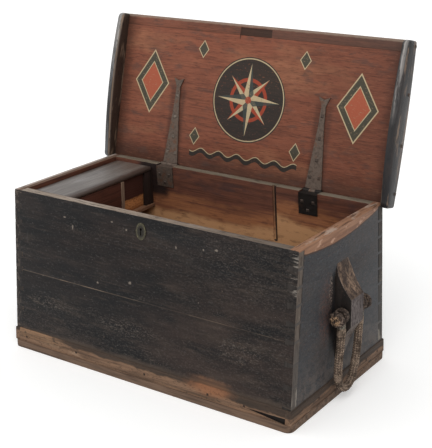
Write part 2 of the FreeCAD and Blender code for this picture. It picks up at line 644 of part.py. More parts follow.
def on_front_inside(item, x, z):
    """Stands a piece drawn upright against the inner face of the front board."""
    return place(item, x=x, y=f"-{inner(z)}", z=z, turn=f"-{LEAN}")


def lock_case():
    """An iron case open towards the board, with nailing ears, staple slots and a rail for the bolt."""
    owner = body("lock_case_blank")
    half, wall, height = "Sizes.lock_length / 2", "Sizes.lock_wall", "Sizes.lock_height"
    shell = sketch(owner, "XZ_Plane", "lock_shell")
    outline(shell, rectangle(f"-{half}", half, f"-{height}", "0"))
    pad(owner, shell, "Sizes.lock_depth", back=True)
    hollow = sketch(owner, "XZ_Plane", "lock_hollow")
    outline(hollow, rectangle(f"-{half} + {wall}", f"{half} - {wall}", f"-{height} + {wall}", f"-{wall}"))
    room = owner.newObject("PartDesign::Pocket", "lock_room")
    room.Profile = hollow
    room.setExpression("Length", f"Sizes.lock_depth - {wall}")
    ears = sketch(owner, "XZ_Plane", "lock_ears")
    ear_low = f"-({height} + Sizes.lock_ear_height) / 2"
    ear_high = f"-({height} - Sizes.lock_ear_height) / 2"
    for sign in (-1, 1):
        near, far = f"{sign} * ({half})", f"{sign} * ({half} + Sizes.lock_ear)"
        outline(ears, rectangle(near, far, ear_low, ear_high))
    pad(owner, ears, wall, back=True)
    rail = sketch(owner, "XZ_Plane", "lock_rail")
    rail_top = f"-({wall} + Sizes.lock_hook + Sizes.lock_bolt_bar + 2 * Sizes.lock_clear)"
    rail_low = f"{rail_top} - Sizes.lock_rail"
    outline(rail, rectangle(f"-{half} + {wall}", f"{half} - {wall}", rail_low, rail_top))
    pad(owner, rail, f"Sizes.lock_depth - {wall}", back=True)
    slots = sketch(owner, "XY_Plane", "staple_slots")
    for sign in (-1, 1):
        middle = f"{sign} * Sizes.lock_hook_x + Sizes.lock_travel"
        outline(slots, rectangle(f"{middle} - Sizes.staple_slot / 2", f"{middle} + Sizes.staple_slot / 2",
                                 "Sizes.lock_depth * 0.3", "Sizes.lock_depth * 0.7"))
    slot_cut = owner.newObject("PartDesign::Pocket", "staple_slots_cut")
    slot_cut.Profile = slots
    slot_cut.setExpression("Length", wall)
    return owner


def lock_bolt():
    """A sliding bar with two upright hooks for the keeper's staples."""
    top = "-(Sizes.lock_wall + Sizes.lock_clear)"
    bar_top = f"({top} - Sizes.lock_hook)"
    low = f"({bar_top} - Sizes.lock_bolt_bar)"
    half = "Sizes.lock_bolt_length / 2"
    owner = body("lock_bolt_blank")
    drawing = sketch(owner, "XZ_Plane", "lock_bolt_outline")
    hook = "Sizes.lock_hook"
    corners = [(f"-{half}", low), (half, low), (half, bar_top)]
    for sign in (1, -1):
        middle = f"{sign} * Sizes.lock_hook_x"
        corners += [(f"{middle} + {hook}", bar_top), (f"{middle} + {hook}", top), (f"{middle} - {hook}", top),
                    (f"{middle} - {hook}", bar_top)]
    corners.append((f"-{half}", bar_top))
    outline(drawing, corners)
    pad(owner, drawing, "Sizes.lock_bolt_thick", back=True)
    return owner


ear_middle = "Sizes.lock_length / 2 + Sizes.lock_ear / 2"
ear_spots = [(f"{sx} * ({ear_middle})", f"-Sizes.lock_height / 2 + ({sz} * Sizes.lock_ear_height * 0.3)")
             for sx in (-1, 1) for sz in (-1, 1)]
lock_nails = nails("lock_nails", "XZ_Plane", ear_spots, heads_back=True)
LOCK_FACE = f"(-{inner(LOCK_TOP)} + Sizes.lock_wall * cos({LEAN}))"
place(lock_nails, x="Sizes.lock_x", y=LOCK_FACE, z=f"{LOCK_TOP} - Sizes.lock_wall * sin({LEAN})",
      turn=f"-{LEAN}")
case_blank = on_front_inside(lock_case(), "Sizes.lock_x", LOCK_TOP)
keep(cut("lock_case_drilled", case_blank, [lock_nails]), "lock_case")
keep(lock_nails, "lock_nails")
bolt_piece = lock_bolt()
BOLT_IN = "((Sizes.lock_depth - Sizes.lock_wall - Sizes.lock_bolt_thick) / 2)"
place(bolt_piece, x="Sizes.lock_x", y=f"-{inner(LOCK_TOP)} + {BOLT_IN} * cos({LEAN})",
      z=f"{LOCK_TOP} - {BOLT_IN} * sin({LEAN})", turn=f"-{LEAN}")
keep(bolt_piece, "lock_bolt")


def keyhole():
    """The tool that cuts the keyhole: a round top over a straight slot, through the front."""
    length = "3 * Sizes.board"
    top = rod("keyhole_round", "Sizes.keyhole_radius", length, "0", f"-{length} / 2", "0", "y")
    slot = box("keyhole_slot_tool", ("-Sizes.keyhole_slot / 2", "Sizes.keyhole_slot / 2"),
               (f"-{length} / 2", f"{length} / 2"), ("-Sizes.keyhole_length", "0"))
    tool = join("keyhole_tool", [top, slot])
    return place(tool, x="Sizes.keyhole_x", y=f"-{outer(KEYHOLE_Z)}", z=KEYHOLE_Z, turn=f"-{LEAN}")


keyhole_tool = keyhole()

def key_plate():
    """A flat oval of four arcs, drawn upright about its own middle."""
    wide, tall = "(Sizes.plate_width / 2)", "(Sizes.plate_height / 2)"
    small = f"({wide} * 0.72)"
    rise = f"({tall} - {small})"
    large = f"(({rise} * {rise} + {wide} * {wide} - {small} * {small}) / (2 * ({wide} - {small})))"
    x = f"{small} * ({large} - {wide}) / ({large} - {small})"
    y = f"{rise} + {small} * {rise} / ({large} - {small})"
    corners = [(x, y), (f"-({x})", y), (f"-({x})", f"-({y})"), (x, f"-({y})")]
    arcs = {0: ("0", rise, "y"), 1: (f"{large} - {wide}", "0", "x"),
            2: ("0", f"-{rise}", "y"), 3: (f"{wide} - {large}", "0", "x")}
    return prism("key_plate_blank", "XZ_Plane", corners, "Sizes.plate_thick", arcs=arcs)


PLATE_Z = f"({KEYHOLE_Z} - Sizes.keyhole_length / 3)"
plate_blank = place(key_plate(), x="Sizes.keyhole_x", y=f"-{outer(PLATE_Z)}", z=PLATE_Z, turn=f"-{LEAN}")
keep(cut("key_plate", plate_blank, [keyhole_tool]), "key_plate")

# ---- carcass -------------------------------------------------------------------------------------


def carcass_board(name, side, low, high, joint_low, tails):
    """A front or back board. Its ends are cut into tails from joint_low up; side is -1 or 1."""
    owner = body(name)
    section = sketch(owner, "YZ_Plane", name + "_section")
    outline(section, [(f"{side} * {outer(low)}", low), (f"{side} * {outer(high)}", high),
                      (f"{side} * {inner(high)}", high), (f"{side} * {inner(low)}", low)])
    pad(owner, section, "Sizes.chest_length", both=True)
    sockets = sketch(owner, "XZ_Plane", name + "_sockets")
    for sign in (-1, 1):
        tip, root = f"{sign} * {END}", f"{sign} * {END_INSIDE}"
        half_tip, half_root = "Sizes.pin_tip / 2", "Sizes.pin_root / 2"
        outline(sockets, [(tip, f"{joint_low} - {half_tip}"), (tip, f"{joint_low} + {half_tip}"),
                          (root, f"{joint_low} + {half_root}"), (root, f"{joint_low} - {half_root}")])
    first = pocket_through(owner, sockets)
    doc.recompute()
    row = owner.newObject("PartDesign::LinearPattern", name + "_pins")
    row.Originals = [first]
    row.Direction = (sockets, ["V_Axis"])
    row.setExpression("Length", f"({high}) - ({joint_low})")
    row.setExpression("Occurrences", f"{tails} + 1")
    owner.Tip = row
    return owner


SEAM = "Sizes.seam_height"
PLINTH_TOP = "Sizes.plinth_top"
boards = {}
for side, sign in (("front", -1), ("back", 1)):
    upper, lower = f"{side}_upper", f"{side}_lower"
    boards[upper] = carcass_board(upper + "_blank", sign, SEAM, RIM, SEAM, "Sizes.upper_tail_count")
    boards[lower] = carcass_board(lower + "_blank", sign, FLOOR, SEAM, PLINTH_TOP, "Sizes.lower_tail_count")

GROOVE_LOW = f"({RIM} - Sizes.partition_groove_drop)"
GROOVE_FACE = f"({inner(GROOVE_LOW)} + Sizes.partition_groove_depth)"
half_groove = "Sizes.partition_groove / 2"
groove_x = (f"Sizes.partition_groove_x - {half_groove}", f"Sizes.partition_groove_x + {half_groove}")
groove_tool = box("partition_groove_tool", groove_x, (f"{GROOVE_FACE} - Sizes.board", GROOVE_FACE),
                  (GROOVE_LOW, f"{RIM} + Sizes.board"), turn=LEAN)

front_holes = [keyhole_tool, till_floor, till_side_front, pivot_holes, lock_nails]
back_holes = [groove_tool, till_floor, till_side_back, pivot_holes, *rim_recesses, *leaf_nails]
keep(cut("front_upper_cut", boards["front_upper"], front_holes), "front_upper_board")
keep(cut("back_upper_cut", boards["back_upper"], back_holes), "back_upper_board")
keep(cut("front_lower_cut", boards["front_lower"], plinth_tools), "front_lower_board")
keep(cut("back_lower_cut", boards["back_lower"], plinth_tools), "back_lower_board")

end_slab = prism("end_slab", "YZ_Plane", [
    (f"-{outer(FLOOR)}", FLOOR), (outer(FLOOR), FLOOR),
    (outer(RIM), RIM), (f"-{outer(RIM)}", RIM)], "Sizes.board")
place(end_slab, x=END_INSIDE)

# ---- rope beckets --------------------------------------------------------------------------------

BECKET_X = f"({END} + Sizes.becket_out)"
BECKET_Z = "Sizes.becket_height"
FACE_X = f"({END} + Sizes.block_projection)"
SIDES_ROUND = 12
EYE_INNER_X = "(Sizes.becket_out - Sizes.eye_radius)"
BLOCK_TAPER = "((Sizes.block_width - Sizes.block_face) / 2 / Sizes.block_projection)"
EYE_START = f"(Sizes.block_width / 2 - {BLOCK_TAPER} * {EYE_INNER_X} + Sizes.eye_gap)"
EYE_MIDDLE = f"({EYE_START} + Sizes.rope / 2)"
KNOT_START = f"({EYE_START} + Sizes.rope + Sizes.eye_gap)"


def hollow_taper(face_z, wall_z, way):
    """The middle of the arc that hollows one taper of a block, above (1) or below (-1) its outer face."""
    out, tall = "Sizes.block_projection", f"({way} * ({wall_z} - {face_z}))"
    chord = f"sqrt({out} * {out} + {tall} * {tall})"
    reach = f"({chord} * {chord} / (8 * Sizes.block_hollow) - Sizes.block_hollow / 2)"
    return (f"{END} + {out} / 2 + {tall} / {chord} * {reach}",
            f"({face_z} + {wall_z}) / 2 + {way} * {out} / {chord} * {reach}", "x")


def becket_block():
    """The bracket: hollow tapers above and below its outer face, and sides that draw in."""
    side_view = prism("block_side_view", "XZ_Plane", [
        (END, "Sizes.block_foot"), (FACE_X, "Sizes.block_chin"),
        (FACE_X, "Sizes.block_ridge"), (END, "Sizes.block_top"),
    ], "Sizes.block_width", both=True, arcs={
        0: hollow_taper("Sizes.block_chin", "Sizes.block_foot", -1),
        2: hollow_taper("Sizes.block_ridge", "Sizes.block_top", 1)})
    half_wall, half_face = "Sizes.block_width / 2", "Sizes.block_face / 2"
    plan = prism("block_plan", "XY_Plane", [
        (END, f"-{half_wall}"), (FACE_X, f"-{half_face}"),
        (FACE_X, half_face), (END, half_wall)], "Sizes.block_top")
    half_crest, half_toe = "Sizes.block_crest / 2", "Sizes.block_toe / 2"
    right_side = [(half_toe, "Sizes.block_foot"), (half_wall, "Sizes.block_chin"),
                  (half_wall, "Sizes.block_shoulder"), (half_crest, "Sizes.block_top")]
    left_side = [(f"-{y}", z) for y, z in reversed(right_side)]
    front_view = prism("block_front_view", "YZ_Plane", right_side + left_side, "Sizes.block_projection")
    place(front_view, x=END)
    return common("block_blank", [side_view, plan, front_view])


block_blank = becket_block()
bolt_right = rod("becket_bolt", "Sizes.becket_bolt", f"2 * {KNOT_START}",
                 BECKET_X, f"-{KNOT_START}", BECKET_Z, "y")


def many_sided(owner, name, radius):
    """A regular outline across a bolt, standing in for a round one of wound rope."""
    drawing = sketch(owner, "XZ_Plane", name)
    steps = [f"(360 * {i + 0.5} / {SIDES_ROUND})" for i in range(SIDES_ROUND)]
    outline(drawing, [(f"{radius} * cos({step})", f"{radius} * sin({step})") for step in steps])
    return drawing


def eye(name, sign):
    """One eye of the bail: a ring on the bolt with a throat down to the rope."""
    ring = body(name + "_ring")
    pad(ring, many_sided(ring, name + "_rim", "Sizes.eye_radius"), "Sizes.eye_width", both=True)
    throat = rod(name + "_throat", "Sizes.rope / 2", "Sizes.throat_length", "0", "0", "0", "y")
    place(throat, z="-Sizes.throat_length")
    bore = rod(name + "_bore", "Sizes.becket_bolt + Sizes.bolt_clear", "2 * Sizes.rope",
               "0", "-Sizes.rope", "0", "y")
    piece = cut(name, join(name + "_blank", [ring, throat]), [bore])
    return place(piece, x=BECKET_X, y=f"{sign} * {EYE_MIDDLE}", z=BECKET_Z)


def knot(name, sign):
    """One knot on a bolt's end: a many-sided disc, chamfered on both sides, with a raised crown."""
    owner = body(name)
    for part, radius, length in (("disc", "Sizes.knot_radius", "Sizes.knot_width * 0.8"),
                                 ("crown", "(Sizes.knot_radius * 0.5)", "Sizes.knot_width")):
        solid = pad(owner, many_sided(owner, f"{name}_{part}", radius), length, back=sign > 0)
        if part == "disc":
            doc.recompute()
            faces = [f"Face{i}" for i, face in enumerate(solid.Shape.Faces, start=1) if len(face.Edges) > 4]
            round_off = owner.newObject("PartDesign::Chamfer", name + "_round_off")
            round_off.Base = (solid, faces)
            round_off.setExpression("Size", "Sizes.knot_round")
    return place(owner, x=BECKET_X, y=f"{sign} * {KNOT_START}", z=BECKET_Z)


def bail_route():
    """The rope's corners from one throat to the other."""
    x, exit_z = number(BECKET_X), number(f"{BECKET_Z} - Sizes.throat_length")
    start = number(EYE_MIDDLE)
    loop = [Vector(x, y, exit_z - drop) for y, drop in BAIL_LOOP]
    loop[0].y, loop[-1].y = -start, start
    return [Vector(x, -start, exit_z), *loop, Vector(x, start, exit_z)]


def rope_path(route):
    """Straight runs joined by tangent arcs, each arc as large as its two runs allow."""
    edges, radii, here = [], [], route[0]
    for before, corner, after in zip(route, route[1:], route[2:]):
        back, on = (before - corner).normalize(), (after - corner).normalize()
        turn = math.pi - back.getAngle(on)
        reach = 0.45 * min((before - corner).Length, (after - corner).Length)
        radius = reach / math.tan(turn / 2)
        start, stop = corner + back * reach, corner + on * reach
        middle = corner + (back + on).normalize() * (radius / math.cos(turn / 2) - radius)
        edges += [Part.LineSegment(here, start).toShape(), Part.Arc(start, middle, stop).toShape()]
        radii.append(radius)
        here = stop
    edges.append(Part.LineSegment(here, route[-1]).toShape())
    return Part.Wire(edges), radii


def bail():
    """The bail's rope as a plain tube, set from the sheet by code because its path is a chosen line."""
    path, radii = rope_path(bail_route())
    radius = number("Sizes.rope / 2")
    first = path.Edges[0]
    start = first.valueAt(first.FirstParameter)
    reach = radius * math.sqrt(2 * math.pi / (SIDES_ROUND * math.sin(2 * math.pi / SIDES_ROUND)))
    steps = [2 * math.pi * (i + 0.5) / SIDES_ROUND for i in range(SIDES_ROUND + 1)]
    section = Part.makePolygon([start + Vector(math.cos(a), math.sin(a), 0) * reach for a in steps])
    tube = path.makePipeShell([section], True, False)
    rope = doc.addObject("Part::Feature", "bail_rope_shape")
    rope.Shape = tube
    expected = math.pi * radius ** 2 * path.Length
    print(f"bail: length {path.Length:.1f}, volume off by {tube.Volume / expected - 1:.2%}")
    print("bail radii:", " ".join(f"{r:.0f}" for r in radii))
    return rope


eyes_right = group("eyes_right", [eye("eye_near", -1), eye("eye_far", 1)])
knots_right = group("knots_right", [knot("knot_near", -1), knot("knot_far", 1)])
bail_right = bail()

block_nails = nails("block_nails", "YZ_Plane", [
    ("0", "Sizes.block_foot + (Sizes.block_chin - Sizes.block_foot) * 0.45"),
    ("0", "Sizes.block_ridge + (Sizes.block_top - Sizes.block_ridge) * 0.68")], heads_back=True,
    bite="Sizes.board + Sizes.block_nail_grip")
place(block_nails, x=END_INSIDE)

block_right = cut("block_drilled", block_blank, [bolt_right, block_nails])
end_right = cut("end_board", end_slab, [*boards.values(), *plinth_tools, block_nails])

for name, source in (("end_board", end_right), ("becket_block", block_right), ("becket_bolt", bolt_right),
                     ("becket_knots", knots_right), ("becket_eyes", eyes_right), ("becket_rope", bail_right),
                     ("block_nails", block_nails)):
    keep(source, name + "_right")
    keep(mirrored(name + "_left", source), name + "_left")

# ---- lid, drawn shut -----------------------------------------------------------------------------

LID_TOP_EDGE = f"({LID_UNDER} + Sizes.lid_edge)"
CROWN = "Sizes.lid_crown"
CROWN_RADIUS = f"(({HALF_RIM} * {HALF_RIM} + {CROWN} * {CROWN}) / (2 * {CROWN}))"
CROWN_MIDDLE = f"({LID_TOP_EDGE} + Sizes.lid_crown - {CROWN_RADIUS})"
LID_END = f"({END} + Sizes.cleat_clear)"
LID_REAR = f"({HALF_RIM} + Sizes.lid_overhang)"

lid_blank = prism("lid_blank", "YZ_Plane", [
    (f"-{HALF_RIM}", LID_UNDER), (LID_REAR, LID_UNDER), (LID_REAR, LID_TOP_EDGE),
    (HALF_RIM, LID_TOP_EDGE), (f"-{HALF_RIM}", LID_TOP_EDGE),
], f"2 * {LID_END}", both=True, arcs={3: ("0", CROWN_MIDDLE, "y")})
STRIP_BACK = f"(-{HALF_RIM} + Sizes.lid_strip)"
strip_room = box("lid_strip_room", (f"-{LID_END}", LID_END), (f"-{HALF_RIM} - Sizes.lid_strip", STRIP_BACK),
                 (f"{LID_UNDER} - Sizes.lid_edge", f"{LID_TOP_EDGE} + 2 * Sizes.lid_edge"))
KEEPER_FRONT = f"(-{HALF_RIM} + Sizes.keeper_setback)"
keeper_recess = box("keeper_recess", ("-Sizes.keeper_length / 2", "Sizes.keeper_length / 2"),
                    (KEEPER_FRONT, f"{KEEPER_FRONT} + Sizes.keeper_width"),
                    (f"{LID_UNDER} - 1", f"{LID_UNDER} + Sizes.keeper_depth"))


def cleat():
    """The right-hand cleat: crowned like the lid above, bowed below, its lower corners rounded."""
    bevel = "Sizes.cleat_round"
    half_bow = f"({HALF_RIM} - {bevel})"
    low = f"({LID_UNDER} - Sizes.cleat_drop_end)"
    sag = "(Sizes.cleat_drop_middle - Sizes.cleat_drop_end)"
    bow_middle = f"({low} - {sag} + ({half_bow} * {half_bow} + {sag} * {sag}) / (2 * {sag}))"
    turn = f"({low} + {bevel})"
    rear_bow = f"({LID_REAR} - {bevel})"
    corners = [(f"-{half_bow}", low), (half_bow, low), (rear_bow, low), (LID_REAR, turn),
               (LID_REAR, LID_TOP_EDGE), (HALF_RIM, LID_TOP_EDGE), (f"-{HALF_RIM}", LID_TOP_EDGE),
               (f"-{HALF_RIM}", turn)]
    arcs = {0: ("0", bow_middle, "y"), 2: (rear_bow, turn, "x"), 5: ("0", CROWN_MIDDLE, "y"),
            7: (f"-{half_bow}", turn, "x")}
    return place(prism("cleat_blank", "YZ_Plane", corners, "Sizes.cleat_width", arcs=arcs), x=LID_END)


cleat_nails = nails("cleat_nail_set", "YZ_Plane", [
    (f"{share} * {HALF_RIM}", f"{LID_UNDER} + Sizes.lid_edge / 2") for share in (-0.93, -0.35, 0.27, 0.86)],
    bite="Sizes.cleat_width + Sizes.nail_bite")
place(cleat_nails, x=f"{LID_END} + Sizes.cleat_width")
cleat_nails_left = mirrored("cleat_nail_set_left", cleat_nails)
both_cleat_nails = [cleat_nails, cleat_nails_left]

cleat_right = cut("cleat_drilled", cleat(), [cleat_nails])
strip_blank = common("lid_strip_blank", [lid_blank, strip_room])
keep_on_lid(cut("lid_strip_cut", strip_blank, [keeper_recess, *both_cleat_nails]), "lid_front_strip")
lid_holes = [strip_room, keeper_recess, *lid_notches, *strap_nails, *both_cleat_nails]
keep_on_lid(cut("lid_panel_cut", lid_blank, lid_holes), "lid_panel")
keep_on_lid(cleat_right, "lid_cleat_right")
keep_on_lid(mirrored("cleat_drilled_left", cleat_right), "lid_cleat_left")
keep_on_lid(cleat_nails, "cleat_nails_right")
keep_on_lid(cleat_nails_left, "cleat_nails_left")

# ---- write ---------------------------------------------------------------------------------------


def write():
    """Recomputes, checks every object, turns the lid back and writes one file for each sub-part."""
    doc.recompute()
    for item in doc.Objects:
        if "Invalid" in item.State or "Error" in item.State:
            raise RuntimeError(f"{item.Name} failed: {item.State}")
    os.makedirs("parts", exist_ok=True)
    for item in NODES:
        shape = item.Shape
        if shape.isNull() or not shape.isValid() or not shape.Solids:
            raise RuntimeError(f"{item.Label} has no valid solid")
        shape.exportStep(f"parts/{item.Label}.step")
    print(len(NODES), "sub-parts")


write()
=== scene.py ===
import json
import math
from functools import cached_property, partial, reduce

import bpy
from mathutils import Matrix, Vector

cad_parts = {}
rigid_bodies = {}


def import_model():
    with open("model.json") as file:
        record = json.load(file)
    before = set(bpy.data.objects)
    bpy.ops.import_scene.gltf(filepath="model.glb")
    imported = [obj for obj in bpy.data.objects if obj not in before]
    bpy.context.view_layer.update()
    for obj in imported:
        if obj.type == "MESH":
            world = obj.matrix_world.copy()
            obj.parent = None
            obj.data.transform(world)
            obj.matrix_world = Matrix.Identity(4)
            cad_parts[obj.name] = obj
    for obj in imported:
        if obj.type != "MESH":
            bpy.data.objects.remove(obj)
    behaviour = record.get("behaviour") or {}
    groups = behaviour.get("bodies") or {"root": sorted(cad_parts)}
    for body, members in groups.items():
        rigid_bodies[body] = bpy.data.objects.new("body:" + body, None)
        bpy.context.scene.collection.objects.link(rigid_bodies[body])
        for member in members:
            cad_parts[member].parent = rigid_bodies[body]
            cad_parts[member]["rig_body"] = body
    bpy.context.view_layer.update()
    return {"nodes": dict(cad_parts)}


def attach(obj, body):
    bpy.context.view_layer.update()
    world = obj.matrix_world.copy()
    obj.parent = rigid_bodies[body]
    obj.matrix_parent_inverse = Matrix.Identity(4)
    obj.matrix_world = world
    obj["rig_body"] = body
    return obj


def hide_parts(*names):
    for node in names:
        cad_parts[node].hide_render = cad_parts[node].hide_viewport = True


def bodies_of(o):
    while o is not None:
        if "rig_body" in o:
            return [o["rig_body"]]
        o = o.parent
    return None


# The finish of a painted sea chest, laid over its CAD frame. All sizes are in metres.
bl_info = {
    "name": "Sea chest",
    "version": (1, 0, 0),
    "blender": (4, 5, 0),
    "location": "3D View > Sidebar > Sea chest",
    "description": "Dresses the CAD sea chest in worn paint, pine, wrought iron and ropework",
    "category": "Object",
}

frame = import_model()

# The ways to the right, to the back and up.
ACROSS, ALONG, UPWARDS = Vector((1, 0, 0)), Vector((0, 1, 0)), Vector((0, 0, 1))
SIDES = (("left", -1), ("right", 1))

# Half the depth of the rim, the lowest height that is rim, and how far out the inner faces of the ends lie.
RIM_HALF = 0.2125
RIM_FROM = 0.44
END_INNER = 0.4251

# The groove of a lost partition in the back: its sides and its foot.
GROOVE, GROOVE_FOOT = (0.1310, 0.1385), 0.290

# The open lid, and the line that it turns about.
LID_ANGLE = math.radians(103)
LID_AXIS = Vector((0, RIM_HALF, 0.45165))

# How far out the inner and outer faces of the cleats are, and how far up from the hinge the middle of the star is.
CLEAT_INNER, CLEAT_OUTER = 0.4545, 0.4720
STAR_UP = 0.218

# The nails of the shut lid's cleats: their height, and their places as shares of half the depth of the rim.
CLEAT_NAIL_HEIGHT = 0.4653
CLEAT_NAILS = (-0.93, -0.35, 0.27, 0.86)

# For worked copies: points this near are one, edges turn flat, worn and sharp at these angles between their faces, and
# a nail's hole is this near to its middle.
MERGED = 0.00001
FLAT, WORN, SHARP = math.radians(0.4), math.radians(28), math.radians(35)
PLUG_RADIUS = 0.004

# The front and back face: how far out they are at the floor, and how far in they lean for each metre of height.
FACE_OUT = 0.2465
CANT = 0.034 / 0.455

# The height of the joint between the two boards of the front and of the back.
JOINT = 0.230

# The (x, z) of the keyhole, and of the key plate's middle, with half its width and height.
KEYHOLE = (-0.010, 0.415)
PLATE_MIDDLE, PLATE_HALF = (-0.010, 0.4167), (0.0155, 0.0225)

# The becket bolts: how far out and how high. Then how far from the middle of the end the eyes are, how high the tops
# of their throats, and the same of the knots.
BOLT_OUT, BOLT_HEIGHT = 0.477, 0.24
EYE_ASIDE, THROAT_TOP = 0.0474, 0.2215
KNOT_ASIDE, KNOT_HEIGHT = 0.0715, 0.238

# The bail's own points in the plane of its bolt, from one eye, round the bottom of the loop, to the other: (y, z).
BAIL = [
    (-EYE_ASIDE, 0.206), (-EYE_ASIDE, 0.172), (-0.062, 0.098), (-0.051, 0.040), (0.007, 0.026), (0.038, 0.100),
    (EYE_ASIDE, 0.172), (EYE_ASIDE, 0.206),
]


def linear(hex_colour):
    """An sRGB hex colour as the linear RGBA that Blender works in."""
    parts = [int(hex_colour[i : i + 2], 16) / 255 for i in (1, 3, 5)]
    return tuple(c / 12.92 if c <= 0.04045 else ((c + 0.055) / 1.055) ** 2.4 for c in parts) + (1.0,)


def colour(name, about, default):
    """One colour of the chest, as a property that a user may change."""
    return bpy.props.FloatVectorProperty(
        name=name, description=about, default=linear(default), size=4, min=0, max=1, subtype="COLOR"
    )


def size(name, about, default):
    """One length of the chest's finish, as a property that a user may change."""
    return bpy.props.FloatProperty(name=name, description=about, default=default, min=0, unit="LENGTH")


class SeaChestSizes(bpy.types.PropertyGroup):
    """Sizes of the chest's finish."""

    board_easing: size("Board easing", "How far the arrises of the boards are worn round", 0.0012)
    block_easing: size("Block easing", "How far the arrises of the becket blocks are worn round", 0.0022)
    cleat_easing: size("Cleat easing", "How far the arrises of the lid's cleats are rounded", 0.0060)
    rope_diameter: size("Rope diameter", "Diameter of the becket rope over its woven cover", 0.0225)
    cover_strands: bpy.props.IntProperty(
        name="Cover strands", description="Strands each way in the woven cover of the beckets", default=8, min=4
    )
    strand_width: size("Strand width", "Width of one strand of the woven cover", 0.0046)
    knot_radius: size("Knot radius", "Radius of the turk's head knots outside the eyes", 0.0220)
    star_radius: size("Star radius", "Reach of the long points of the compass star inside the lid", 0.103)
    lens: bpy.props.FloatProperty(
        name="Lens", description="Focal length of the camera", default=87.28, min=10, unit="CAMERA"
    )


class SeaChestColours(bpy.types.PropertyGroup):
    """Colours of the chest's finish."""

    black_paint: colour("Black paint", "Old black paint on the front and back", "#141415")
    # The end paint is the front's black paint made greyer as painted light, for the light that falls on the ends.
    lit_end_paint: colour("End paint with painted light", "Greyer black paint on the ends", "#313235")
    scuffed: colour("Scuffed paint", "Paint rubbed thin over the wood", "#4c4139")
    bare_wood: colour("Bare wood", "Weathered pine where the paint is gone", "#84705c")
    rim_wood: colour("Rim wood", "Grey-beige upper edges of the front and back", "#988a7c")
    end_rim_wood: colour("End rim wood", "Orange-tan upper edges of the ends", "#8f6a52")
    inside_wood: colour("Inside wood", "Red-brown stained pine inside", "#603a2c")
    inside_pale: colour("Inside pale", "Tan pine low down inside", "#b98d64")
    plinth_wood: colour("Plinth wood", "Bare orange-brown pine of the plinth", "#7a5f4b")
    lid_wood: colour("Lid wood", "Red-brown stained pine inside the lid", "#7f4b38")
    lid_dark: colour("Lid dark", "Darker grain inside the lid", "#4f3026")
    cleat_paint: colour("Cleat paint", "Glossy grey-black paint of the lid cleats", "#1f1d1e")
    cleat_wear: colour("Cleat wear", "Brown wood along the worn edges of the cleats", "#75604f")
    till_lid_grey: colour("Till lid", "Grey weathered top of the till lid", "#716b66")
    iron: colour("Wrought iron", "Dark brown-grey wrought iron", "#5f5249")
    rust: colour("Rust", "Rust on the iron", "#664534")
    plate: colour("Plate metal", "Dull brass of the key plate", "#3f3b2e")
    rope: colour("Rope", "Brown-grey tarred hemp", "#6a5b50")
    rope_pale: colour("Rope worn", "Hemp fibres bleached on the crowns of the strands", "#a8937f")
    emblem_dark: colour("Emblem dark", "Green-black of the painted compass", "#1f2422")
    emblem_cream: colour("Emblem cream", "Cream of the painted compass", "#b8a684")
    emblem_red: colour("Emblem red", "Brick red of the painted compass", "#96402b")


def sizes():
    return bpy.context.scene.sea_chest_sizes


def colours():
    return bpy.context.scene.sea_chest_colours


# ---------------------------------------------------------------- finishes


def put(tree, kind, *inputs, named=None, out=0, **settings):
    """Adds a node with its settings, links or sets its inputs in order or by name, and gives one of its outputs."""
    node = tree.nodes.new("ShaderNode" + kind)
    for name, value in settings.items():
        setattr(node, name, value)
    for key, value in (*enumerate(inputs), *(named or {}).items()):
        if isinstance(value, bpy.types.NodeSocket):
            tree.links.new(value, node.inputs[key])
        else:
            node.inputs[key].default_value = linear(value) if isinstance(value, str) else value
    return node.outputs[out]


